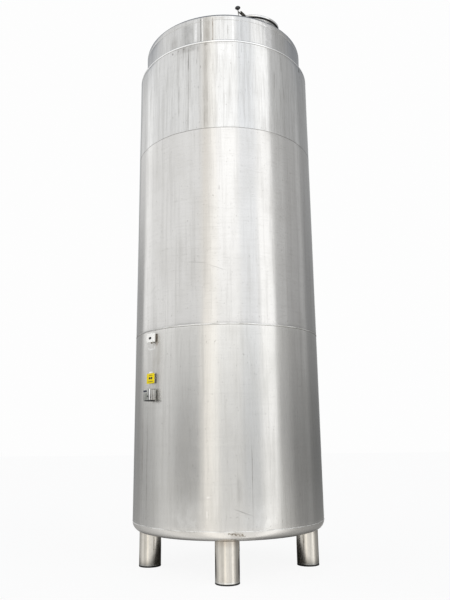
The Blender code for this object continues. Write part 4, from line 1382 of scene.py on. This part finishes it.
@dataclass
class SwingBolt:
    """Eye bolt on its clevis pin, with a rolled thread and a moulded hand knob."""

    manhole: Manhole
    lean: float = 25.0
    eye: float = 0.011
    eye_width: float = 0.014
    hole: float = 0.0053
    shank: float = 0.006
    shank_foot: float = 0.0066
    shank_top: float = 0.134
    thread_foot: float = 0.066
    pitch: float = 0.00175
    pitch_steps: int = 6
    thread_depth: float = 0.0009
    columns: int = 24
    knob: float = 0.030
    knob_half: float = 0.020
    knob_z: float = 0.130
    knob_foot: float = 0.1095
    knob_bore: float = 0.026
    knob_hub: float = 0.014
    mould_line: float = 0.0003

    def local(self, points: Array) -> Array:
        """Put points from the bolt's frame into the tank's."""
        return self.manhole.local(place(points, self.manhole.clevis, 0.0, self.lean))

    def build(self) -> None:
        """Build the bolt and its knob."""
        self.build_bolt()
        self.build_knob()

    def build_bolt(self) -> None:
        """Eye, plain shank and thread.

        On the thread, radius = shank - depth |2 frac(z / pitch - t / turn) - 1|.
        """
        profile = turned(self.hole, self.eye, self.eye_width / 2.0, 0.0012)
        eye = ring(self.local(sideways(revolve(profile, 40))))
        rows = int((self.shank_top - self.thread_foot) / self.pitch * self.pitch_steps)
        thread = np.linspace(self.thread_foot, self.shank_top, rows)
        z = np.concatenate([[self.shank_foot, self.thread_foot - 0.001], thread])
        turn = (z[:, None] / self.pitch - angles(self.columns)[None, :] / TAU) % 1.0
        cut_in = self.thread_depth * np.abs(2.0 * turn - 1.0)
        cut_in[:2] = 0.0
        grid = revolve(np.stack([np.full(len(z), self.shank), z], -1), self.columns, -cut_in)
        bolt = eye + plug(self.local(grid))
        make_piece("swing_bolt_bar", bolt, TURNED, "bolt_stainless", ("swing_bolt",), "bolt", FINE_TURN)

    def build_knob(self) -> None:
        """Squat ball on a hub, with the raised line of its mould.

        The ball is (a cos u, b sin u) in radius and height, for u from the hub to the top.
        """
        bore, foot, edge = self.shank + GAP, self.knob_foot, self.knob_hub
        u = np.radians(np.linspace(-58.0, 82.0, 22))
        ball = np.stack([self.knob * np.cos(u), self.knob_z + self.knob_half * np.sin(u)], -1)
        ball[:, 0] += self.mould_line * np.exp(-((ball[:, 1] - self.knob_z) / 0.0012) ** 2) - 0.0004
        hub = [(bore, foot + self.knob_bore), (bore, foot), (edge - 0.0015, foot), (edge, foot + 0.001),
               (edge + 0.0002, foot + 0.0022)]
        knob = plug(self.local(revolve(np.concatenate([hub, ball]), 64)))
        make_piece("hand_knob_moulding", knob, BAKELITE, "knob_bakelite", ("hand_knob",), "knob", FINE_TURN)


@dataclass
class WallFitting:
    """Shared frame of a fitting on the jacket: x out of the tank, y to its right, z up."""

    direction: float
    height: float
    jacket_radius: float = 0.968
    jacket_inset: float = 0.0026
    sunk: float = 0.006
    button_columns: int = 24

    def local(self, points: Array) -> Array:
        """Put points from the fitting's frame into the tank's; x = 0 is the jacket."""
        outward = np.array([self.jacket_radius, 0.0, 0.0])
        return place(points + outward, (0.0, 0.0, self.height), self.direction)

    def box(
            self, near: float, far: float, width: float, height: float, radius: float, side: float = 0.0,
            lift: float = 0.0) -> list[Patch]:
        """Return a rounded box between two distances from the jacket.

        Args:
            near: Distance of its back from the jacket, where 0 follows the jacket's curve.
            far: Distance of its front.
            width: Width along y.
            height: Height along z.
            radius: Radius of its edges.
            side: How far it is moved along y.
            lift: How far it is moved along z.

        Returns:
            Its patches in the tank's frame.
        """
        on_jacket = near == 0.0
        back = near - self.sunk if on_jacket else near
        low = (back, side - width / 2.0, lift - height / 2.0)
        high = (far, side + width / 2.0, lift + height / 2.0)
        patches = rounded_box(low, high, radius)
        for patch in patches:
            if on_jacket:
                y = patch.points[..., 1]
                wall = np.sqrt(self.jacket_radius ** 2 - y ** 2) - self.jacket_radius - self.jacket_inset
                patch.points[..., 0] = np.maximum(patch.points[..., 0], wall)
            patch.points = self.local(patch.points)
        return patches

    def button(
            self, across: float, tall: float, low: float, high: float, edge: float, side: float,
            lift: float) -> Patch:
        """Return an oval button that faces out of the tank, with a rounded edge.

        Args:
            across: Half its width.
            tall: Half its height.
            low: Distance of its foot from the jacket.
            high: Distance of its top.
            edge: Radius of the rounded edge.
            side: How far it is moved along y.
            lift: How far it is moved along z.

        Returns:
            One capped patch in the tank's frame.
        """
        top = bend(across - edge, high - edge, edge, 0.0, 90.0, 3)
        p = revolve(np.concatenate([[(across, low)], top, [(across * 0.4, high)]]), self.button_columns)
        points = np.stack([p[..., 2], p[..., 0] + side, p[..., 1] * (tall / across) + lift], -1)
        return Patch(self.local(points), cap_first=True, cap_last=True)


@dataclass
class Controller(WallFitting):
    """White moulded controller case on a dull base, with a dark oval window and a cable gland."""

    direction: float = -137.0
    height: float = 2.207
    width: float = 0.120
    tall: float = 0.088
    depth: float = 0.038
    base_width: float = 0.106
    base_tall: float = 0.074
    base_depth: float = 0.010
    split: float = 0.024
    screw: float = 0.0035
    screw_side: float = 0.050
    screw_lift: float = 0.034
    window_radius: float = 0.010
    window_pull: float = 0.010
    window_side: float = 0.006
    window_lift: float = -0.005
    gland_side: float = 0.012
    nut_corner: float = 0.0070
    columns: int = 48

    def build(self) -> None:
        """Build the base, the two halves of the case, its screws, window and gland."""
        base = self.box(0.0, self.base_depth, self.base_width, self.base_tall, 0.0015)
        make_piece("controller_back_plate", base, BROWN_PA, "dark_plastic", ("controller_base",))
        rear = self.box(self.base_depth + GAP, self.split, self.width - 0.002, self.tall - 0.002, 0.005)
        front = self.box(self.split + 0.0008, self.depth, self.width, self.tall, 0.0055)
        make_piece("controller_case_moulding", rear + front, WHITE_ABS, "white_plastic", ("controller_case",))
        screws = [
            self.button(self.screw, self.screw, self.depth - 0.001, self.depth + 0.0008, 0.0006, side, lift)
            for side in (-self.screw_side, self.screw_side) for lift in (-self.screw_lift, self.screw_lift)]
        make_piece("controller_screw_heads", screws, TURNED, "fitting_stainless")
        self.build_window()
        self.build_gland()

    def oval(self, rings: tuple[Pair, ...]) -> Array:
        """Return rings of an oval, which is a circle pulled apart along y.

        Args:
            rings: Radius of each ring's ends and its distance from the case's front.

        Returns:
            A rings x columns x 3 grid in the tank's frame.
        """
        t = angles(self.columns)
        pull = self.window_pull * np.sign(np.cos(t))
        rows = []
        for r, x in rings:
            y = r * np.cos(t) + pull * min(r / self.window_radius, 1.0) + self.window_side
            rows.append(np.stack([np.full_like(t, self.depth + x), y, r * np.sin(t) + self.window_lift], -1))
        return self.local(np.array(rows))

    def build_window(self) -> None:
        """Oval window, and a thin bezel round it."""
        pane = plug(self.oval(((0.0100, 0.0003), (0.0100, 0.0022), (0.0092, 0.0030), (0.0040, 0.0033))))
        make_piece("controller_window_pane", pane, SMOKED_PC, "dark_plastic", ("controller_window",))
        bezel = self.oval((
            (0.0104, -0.0002), (0.0118, -0.0002), (0.0118, 0.0006), (0.0114, 0.0011), (0.0108, 0.0011),
            (0.0104, 0.0006)))
        make_piece("controller_window_bezel", ring(bezel), BLACK_PA, "dark_plastic")

    def build_gland(self) -> None:
        """Cable gland under the case, with a six-sided nut.

        On the nut, r = corner radius cos 30 / cos(angle from the middle of its side).
        """
        t, corner = angles(self.columns)[None, :], self.nut_corner
        rows = np.array([
            (0.0035, -0.016), (0.0045, -0.016), (0.0052, -0.0145), (0.0052, -0.010), (corner, -0.0095),
            (corner, -0.0035), (0.0058, -0.003), (0.0058, -0.0003)])
        half_side = math.radians(30.0)
        from_middle = (t + half_side) % (2.0 * half_side) - half_side
        six = corner * (math.cos(half_side) / np.cos(from_middle) - 1.0)
        swell = np.where(rows[:, :1] == corner, six, 0.0)
        middle = np.array([(self.base_depth + self.depth) / 2.0, self.gland_side, -self.tall / 2.0])
        gland = plug(self.local(revolve(rows, self.columns, swell) + middle))
        make_piece("controller_gland", gland, BROWN_PA, "dark_plastic", ("cable_gland",))


@dataclass
class Sign(WallFitting):
    """Yellow enamelled plate on a holder, hung under a white hook."""

    direction: float = -137.7
    height: float = 1.814
    width: float = 0.130
    tall: float = 0.098
    stand_off: float = 0.010
    sheet: float = 0.002
    corner: float = 0.009
    corner_points: int = 7
    backing: float = 0.0007
    dot: Pair = (0.0140, 0.0115)
    dot_side: float = 0.0155
    dot_lift: float = 0.003
    bar_tall: float = 0.0060
    hook_lift: float = 0.0085

    def plate(self, low: float, high: float) -> Patch:
        """Return a flat plate with round corners: corner centre + corner (cos a, sin a) in each quarter.

        Args:
            low: Distance of its back from the jacket.
            high: Distance of its face.

        Returns:
            One capped patch in the tank's frame.
        """
        count = self.corner_points
        quarters = np.arange(4) * math.pi / 2.0
        a = np.concatenate([np.linspace(q, q + math.pi / 2.0, count) for q in quarters])
        y = (self.width / 2.0 - self.corner) * np.repeat([1.0, -1.0, -1.0, 1.0], count)
        z = (self.tall / 2.0 - self.corner) * np.repeat([1.0, 1.0, -1.0, -1.0], count)
        rows = []
        for x, inset in ((low, 0.0), (high - 0.0003, 0.0), (high, 0.0005)):
            r = self.corner - inset
            rows.append(np.stack([np.full_like(a, x), y + r * np.cos(a), z + r * np.sin(a)], -1))
        return Patch(self.local(np.array(rows)), cap_first=True, cap_last=True)

    def build(self) -> None:
        """Build the holder, plate, its plain marks and the hook."""
        holder = self.box(0.0, self.stand_off - GAP, 0.070, 0.060, 0.0012)
        make_piece("sign_holder_block", holder, BLASTED, "fitting_stainless", ("sign_holder",))
        face = self.stand_off + self.sheet
        split = face - self.backing
        make_piece("sign_backing_sheet", [self.plate(self.stand_off, split - 0.0001)], BLASTED, "sign_enamel")
        make_piece("sign_enamel_plate", [self.plate(split, face)], YELLOW, "sign_enamel", ("sign_plate",))
        dots = [
            self.button(*self.dot, face - 0.0003, face + 0.0010, 0.0006, side, self.dot_lift)
            for side in (-self.dot_side, self.dot_side)]
        make_piece("sign_round_marks", dots, INK, "sign_enamel")
        bars = []
        rows = ((0.030, ((-0.016, 0.018), (0.006, 0.020), (0.026, 0.012))),
                (-0.030, ((-0.030, 0.022), (-0.004, 0.024), (0.024, 0.026))))
        for lift, spans in rows:
            for side, width in spans:
                bars += self.box(face - 0.0002, face + 0.0005, width, self.bar_tall, 0.00025, side, lift)
        make_piece("sign_bar_marks", bars, INK, "sign_enamel")
        hook = self.box(0.0, 0.018, 0.034, 0.014, 0.004, 0.0, self.tall / 2.0 + self.hook_lift)
        make_piece("sign_hook_moulding", hook, WHITE_ABS, "white_plastic", ("sign_hook",))


@dataclass
class Housing(WallFitting):
    """Folded stainless instrument housing with a label, a printed plate and a ribbed side cover."""

    direction: float = -136.3
    height: float = 1.654
    width: float = 0.105
    tall: float = 0.118
    depth: float = 0.078
    set_back: float = 0.003
    bar_depth: float = 0.018
    bar_width: float = 0.012
    screw: float = 0.0032
    screw_side: float = -0.046
    screw_lift: float = 0.050
    rib_count: int = 3
    rib_step: float = 0.017
    rib_half: float = 0.0045

    def build(self) -> None:
        """Build the box, its corner bar, label, plate, lamp and screws, and the cover."""
        box = self.box(0.0, self.depth - self.set_back, self.width - 0.006, self.tall, 0.0025, -0.003)
        make_piece("housing_folded_box", box, FOLDED, "housing_stainless", ("instrument_housing",))
        half = self.width / 2.0
        near, side = self.depth - self.bar_depth, half - self.bar_width / 2.0
        # The corner bar rounds the box's front edge and gives it a brighter finish than the box: a painted
        # highlight on that edge.
        bar = self.box(near, self.depth, self.bar_width, self.tall - 0.002, 0.0055, side)
        make_piece("housing_corner_highlight_bar", bar, PRESSED, "housing_stainless")
        face = self.depth - self.set_back + GAP
        slot = self.box(face - 0.002, face + 0.0006, 0.005, self.tall - 0.010, 0.0005, half - 0.0175)
        make_piece("housing_shadow_gap", slot, BLACK_PA, "dark_plastic")
        label = self.box(face, face + 0.001, 0.052, 0.016, 0.0004, -half + 0.031, self.tall / 2.0 - 0.024)
        make_piece("housing_label_film", label, NAVY, "label_plastic", ("housing_label",))
        plate = self.box(face - 0.0002, face + 0.0012, 0.030, 0.058, 0.0005, -0.006, -0.014)
        make_piece("housing_printed_plate", plate, GREY, "housing_stainless")
        lamp = [self.button(0.0070, 0.0070, face, face + 0.003, 0.0015, 0.021, -0.014)]
        make_piece("housing_dark_lamp", lamp, BLACK_PA, "dark_plastic")
        screws = [
            self.button(self.screw, self.screw, face - 0.0004, face + 0.0011, 0.0006, self.screw_side, lift)
            for lift in (-self.screw_lift, self.screw_lift)]
        make_piece("housing_screw_heads", screws, TURNED, "fitting_stainless")
        foot = -self.tall / 2.0 + 0.004
        strip = self.box(0.012, self.depth + 0.0012, self.width * 0.72, 0.011, 0.001, half * 0.30, foot)
        make_piece("housing_bottom_strip", strip, BLACK_PA, "dark_plastic")
        self.build_cover()

    def build_cover(self) -> None:
        """Side cover: three bright ribs that stand on a back sheet with dark gaps between; the sheet's dark
        grey-brown is painted shade in those gaps.
        """
        near, far, tall = 0.010, self.depth - 0.019, 0.100
        base = self.width / 2.0 + GAP
        back = self.box(near, far, 0.004, tall, 0.0008, base - 0.0005)
        make_piece("housing_cover_shade_sheet", back, BROWN_PA, "housing_stainless", ("housing_side_cover",))
        ribs = []
        for number in range(self.rib_count):
            middle = far - 0.008 - number * self.rib_step
            near_rib, far_rib = middle - self.rib_half, middle + self.rib_half
            ribs += self.box(near_rib, far_rib, 0.006, tall - 0.004, 0.0022, base + 0.003)
        make_piece("housing_cover_ribs", ribs, PRESSED, "housing_stainless")


@dataclass
class Hidden:
    """Solids inside the jacket that keep their own shape."""

    nodes: tuple[str, ...] = ("vessel_bottom_head", "vessel_bottom_knuckle", "vessel_support_ring")

    def dress(self) -> None:
        """Give each solid its sheet finish."""
        for node in self.nodes:
            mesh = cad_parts[node].data
            mesh.materials.clear()
            mesh.materials.append(SHEET_ROOF.material())
            LOG.info("%s: kept solid", node)


# Room


@dataclass(frozen=True)
class Panel:
    """One soft light or screen that stands round the tank.

    Attributes:
        start: Direction of its left edge in degrees, 0 behind the camera.
        stop: Direction of its right edge.
        soft: Half the width of its soft edges.
        low: Brightness at the horizon.
        high: Brightness a little above it.
        top: Brightness higher up.
        tint: Colour of its light.
    """

    start: float
    stop: float
    soft: float
    low: float
    high: float
    top: float
    tint: str = "#ffffff"


# The first covers all round. Then from the left of the back round behind the camera to the right
# of the back: two dark screens, a strip light, two bright parts of the left wall, a warm lamp in
# two parts, the front softbox, a cool screen, the right strip light and three dark screens. The
# last two are the one softbox behind the tank.
PANELS = (
    Panel(-200.0, 200.0, 1.0, 0.53, 0.98, 1.00),
    Panel(-200.0, -126.0, 6.0, 0.34, 0.42, 0.78),
    Panel(-200.0, -150.0, 3.0, 0.30, 0.42, 0.50, "#f8fafc"),
    Panel(-124.0, -109.0, 4.0, 0.47, 1.12, 1.16),
    Panel(-94.0, -66.0, 10.0, 0.72, 1.02, 0.98),
    Panel(-60.0, -36.0, 8.0, 0.45, 0.98, 1.04),
    Panel(-28.5, -16.0, 2.0, 1.15, 1.20, 0.98, "#fffbf5"),
    Panel(-18.0, -9.0, 1.5, 1.22, 1.40, 1.34, "#fffdf9"),
    Panel(-9.0, 20.0, 2.0, 0.82, 1.32, 1.44),
    Panel(20.0, 43.0, 2.0, 0.74, 1.24, 1.20, "#f9fbfe"),
    Panel(43.0, 65.0, 1.5, 1.22, 1.42, 1.40),
    Panel(64.0, 80.0, 1.5, 0.46, 0.62, 0.66),
    Panel(80.0, 112.0, 6.0, 0.27, 0.48, 0.52),
    Panel(112.0, 200.0, 14.0, 0.20, 0.32, 0.40, "#fafbfc"),
    Panel(164.0, 200.0, 4.0, 0.85, 0.90, 0.85),
    Panel(-200.0, -164.0, 4.0, 0.85, 0.90, 0.85),
)


@dataclass
class Studio:
    """Camera, pale floor and soft light round the tank.

    Attributes:
        camera_place: Where the camera stands.
        pitch: How far it looks up, in degrees.
        yaw: How far it is turned to the left.
        roll: How far it leans.
        lens: Its focal length in millimetres.
        sensor: Width of its sensor in millimetres.
        reach: How far it sees.
        white: Brightness of the plain ground behind the tank.
        low_rise: Share of up in a direction where a panel goes from its low to its high light.
        top_rise: The same where it goes from its high to its top light.
        ceiling: Colour of the dark ceiling.
        ceiling_back: Share of back in a direction where its low rear part starts and is full.
        ceiling_low: Share of up where that rear part starts and is full.
        ceiling_rise: Share of up where the ceiling starts and is full.
        ground: Colour of the light from below.
        ground_turn: Share of back where that light goes from its front share to its back share.
        ground_share: Those two shares.
        ground_fall: Share of up where the light from below starts and is full.
        floor_half: Half the floor's width.
        shade_middle: Middle of the dark patch on the floor.
        shade_edge: Distances from it where the patch starts to fade and is gone.
        shade_colour: Colour of the patch.
        floor_glow: Light that the floor gives off to the eye.
        floor_colour: Colour that takes the shadows on it.
    """

    camera_place: Point = (0.1138, -6.5944, 1.2567)
    pitch: float = 12.558
    yaw: float = 1.074
    roll: float = -0.635
    lens: float = 36.85
    sensor: float = 36.0
    reach: float = 200.0
    white: float = 0.984
    low_rise: Pair = (-0.05, 0.24)
    top_rise: Pair = (0.20, 0.44)
    ceiling: Point = (0.27, 0.29, 0.33)
    ceiling_back: Pair = (0.10, 0.45)
    ceiling_low: Pair = (0.50, 0.62)
    ceiling_rise: Pair = (0.74, 0.88)
    ground: Point = (1.20, 1.17, 1.12)
    ground_turn: Pair = (-0.45, 0.15)
    ground_share: Pair = (0.42, 0.10)
    ground_fall: Pair = (-0.03, -0.20)
    floor_half: float = 40.0
    shade_middle: Point = (0.0, 0.5, 0.0)
    shade_edge: Pair = (0.86, 1.48)
    shade_colour: Point = (0.07, 0.066, 0.06)
    floor_glow: float = 0.905
    floor_colour: Point = (0.10, 0.10, 0.10)

    def build(self) -> None:
        """Build the camera, the light and the floor."""
        scene = bpy.context.scene
        scene.view_settings.view_transform = "Standard"
        data = bpy.data.cameras.new("camera")
        data.lens = self.lens
        data.sensor_width = self.sensor
        data.clip_end = self.reach
        camera = bpy.data.objects.new("camera", data)
        scene.collection.objects.link(camera)
        turn = Matrix.Rotation(math.radians(self.yaw), 4, "Z")
        turn = turn @ Matrix.Rotation(math.radians(90.0 + self.pitch), 4, "X")
        turn = turn @ Matrix.Rotation(math.radians(self.roll), 4, "Z")
        camera.matrix_world = Matrix.Translation(self.camera_place) @ turn
        scene.camera = camera
        self.build_light()
        self.build_floor()

    def build_light(self) -> None:
        """Soft light from all round: each panel covers the ones before it, and the ceiling is dark."""
        world = bpy.data.worlds.new("studio")
        bpy.context.scene.world = world
        world.use_nodes = True
        tree = world.node_tree
        tree.nodes.clear()
        way = add(tree, "ShaderNodeSeparateXYZ", {0: add(tree, "ShaderNodeTexCoord")}).node.outputs
        back, up = way["Y"], way["Z"]
        front = add(tree, MATH, {0: back, 1: -1.0}, **TIMES)
        turn = add(tree, MATH, {0: way["X"], 1: front}, operation="ARCTAN2")
        raised = []
        for start, stop in (self.low_rise, self.top_rise):
            raised.append(add(tree, RANGE, {0: up, 1: start, 2: stop}, **SMOOTH))
        light = (0.0, 0.0, 0.0, 1.0)
        for panel in PANELS:
            tint = np.array(linear(panel.tint)[:3])
            low, high, top = [(*(tint * level), 1.0) for level in (panel.low, panel.high, panel.top)]
            level = add(tree, MIX, {0: raised[0], 6: low, 7: high}, 2, **COLOURS)
            level = add(tree, MIX, {0: raised[1], 6: level, 7: top}, 2, **COLOURS)
            shares = []
            for edge, before, after in ((panel.start, 0.0, 1.0), (panel.stop, 1.0, 0.0)):
                shares.append(add(tree, RANGE, {
                    0: turn, 1: math.radians(edge - panel.soft), 2: math.radians(edge + panel.soft),
                    3: before, 4: after}, **SMOOTH))
            share = add(tree, MATH, {0: shares[0], 1: shares[1]}, **TIMES)
            light = add(tree, MIX, {0: share, 6: light, 7: level}, 2, **COLOURS)
        dark = (*self.ceiling, 1.0)
        behind = add(tree, RANGE, {0: back, 1: self.ceiling_back[0], 2: self.ceiling_back[1]}, **SMOOTH)
        above = add(tree, RANGE, {0: up, 1: self.ceiling_low[0], 2: self.ceiling_low[1]}, **SMOOTH)
        both = add(tree, MATH, {0: behind, 1: above}, **TIMES)
        overhead = add(tree, RANGE, {0: up, 1: self.ceiling_rise[0], 2: self.ceiling_rise[1]}, **SMOOTH)
        for share in (both, overhead):
            light = add(tree, MIX, {0: share, 6: light, 7: dark}, 2, **COLOURS)
        share = add(tree, RANGE, {
            0: back, 1: self.ground_turn[0], 2: self.ground_turn[1], 3: self.ground_share[0],
            4: self.ground_share[1]}, **SMOOTH)
        ground = add(tree, MIX, {0: share, 6: light, 7: (*self.ground, 1.0)}, 2, **COLOURS)
        below = add(tree, RANGE, {0: up, 1: self.ground_fall[0], 2: self.ground_fall[1]}, **SMOOTH)
        light = add(tree, MIX, {0: below, 6: light, 7: ground}, 2, **COLOURS)
        seen = add(tree, "ShaderNodeLightPath", out="Is Camera Ray")
        plain = (self.white, self.white, self.white, 1.0)
        shown = add(tree, MIX, {0: seen, 6: light, 7: plain}, 2, **COLOURS)
        add(tree, "ShaderNodeOutputWorld", {0: add(tree, "ShaderNodeBackground", {0: shown, 1: 1.0})})

    def build_floor(self) -> None:
        """Pale floor that is white to the eye; only its dark middle under the tank is mirrored."""
        half = self.floor_half
        grid = np.array([[(x, y, 0.0) for x in (-half, half)] for y in (-half, half)])
        material = bpy.data.materials.new("floor, pale")
        material.use_nodes = True
        tree = material.node_tree
        tree.nodes.clear()
        spot = add(tree, "ShaderNodeTexCoord", out="Object")
        away = add(tree, "ShaderNodeVectorMath", {0: spot, 1: self.shade_middle}, "Value",
                   operation="DISTANCE")
        far = add(tree, RANGE, {0: away, 1: self.shade_edge[0], 2: self.shade_edge[1]}, **SMOOTH)
        matt = add(tree, "ShaderNodeBsdfDiffuse", {0: (*self.shade_colour, 1.0)})
        clear = add(tree, "ShaderNodeBsdfTransparent")
        real = add(tree, "ShaderNodeMixShader", {0: far, 1: matt, 2: clear})
        glow = add(tree, "ShaderNodeEmission", {0: (1.0, 1.0, 1.0, 1.0), 1: self.floor_glow})
        pale = add(tree, "ShaderNodeBsdfDiffuse", {0: (*self.floor_colour, 1.0)})
        plain = add(tree, "ShaderNodeAddShader", {0: glow, 1: pale})
        seen = add(tree, "ShaderNodeLightPath", out="Is Camera Ray")
        both = add(tree, "ShaderNodeMixShader", {0: seen, 1: real, 2: plain})
        add(tree, "ShaderNodeOutputMaterial", {0: both})
        mesh = grid_mesh("floor", [Patch(grid, loop_columns=False)])
        floor = finish_mesh("floor", mesh, material, SHARP_TURN)
        if floor.data.polygons[0].normal.z < 0.0:
            floor.data.flip_normals()
        floor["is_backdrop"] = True


def corners(box: tuple) -> list[list[float]]:
    """Return a box's two corners as plain lists.

    Args:
        box: The low and the high corner.

    Returns:
        The same corners as lists of floats.
    """
    return [[float(v) for v in corner] for corner in box]


def main() -> None:
    """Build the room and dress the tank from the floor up."""
    logging.basicConfig(level=logging.INFO, format="%(message)s")
    solid_box = corners(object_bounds())
    Studio().build()
    jacket = Jacket()
    for name, direction in (("front", -90.0), ("right", 0.0), ("back", 90.0), ("left", 180.0)):
        Leg(jacket, name, direction).build()
    jacket.build()
    vessel = Vessel()
    manhole = Manhole(vessel)
    vessel.build(manhole.mouth())
    manhole.build()
    SwingBolt(manhole).build()
    Controller().build()
    Sign().build()
    Housing().build()
    Hidden().dress()
    {"cad": solid_box, "visual": corners(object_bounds())}


if __name__ == "__main__":
    main()
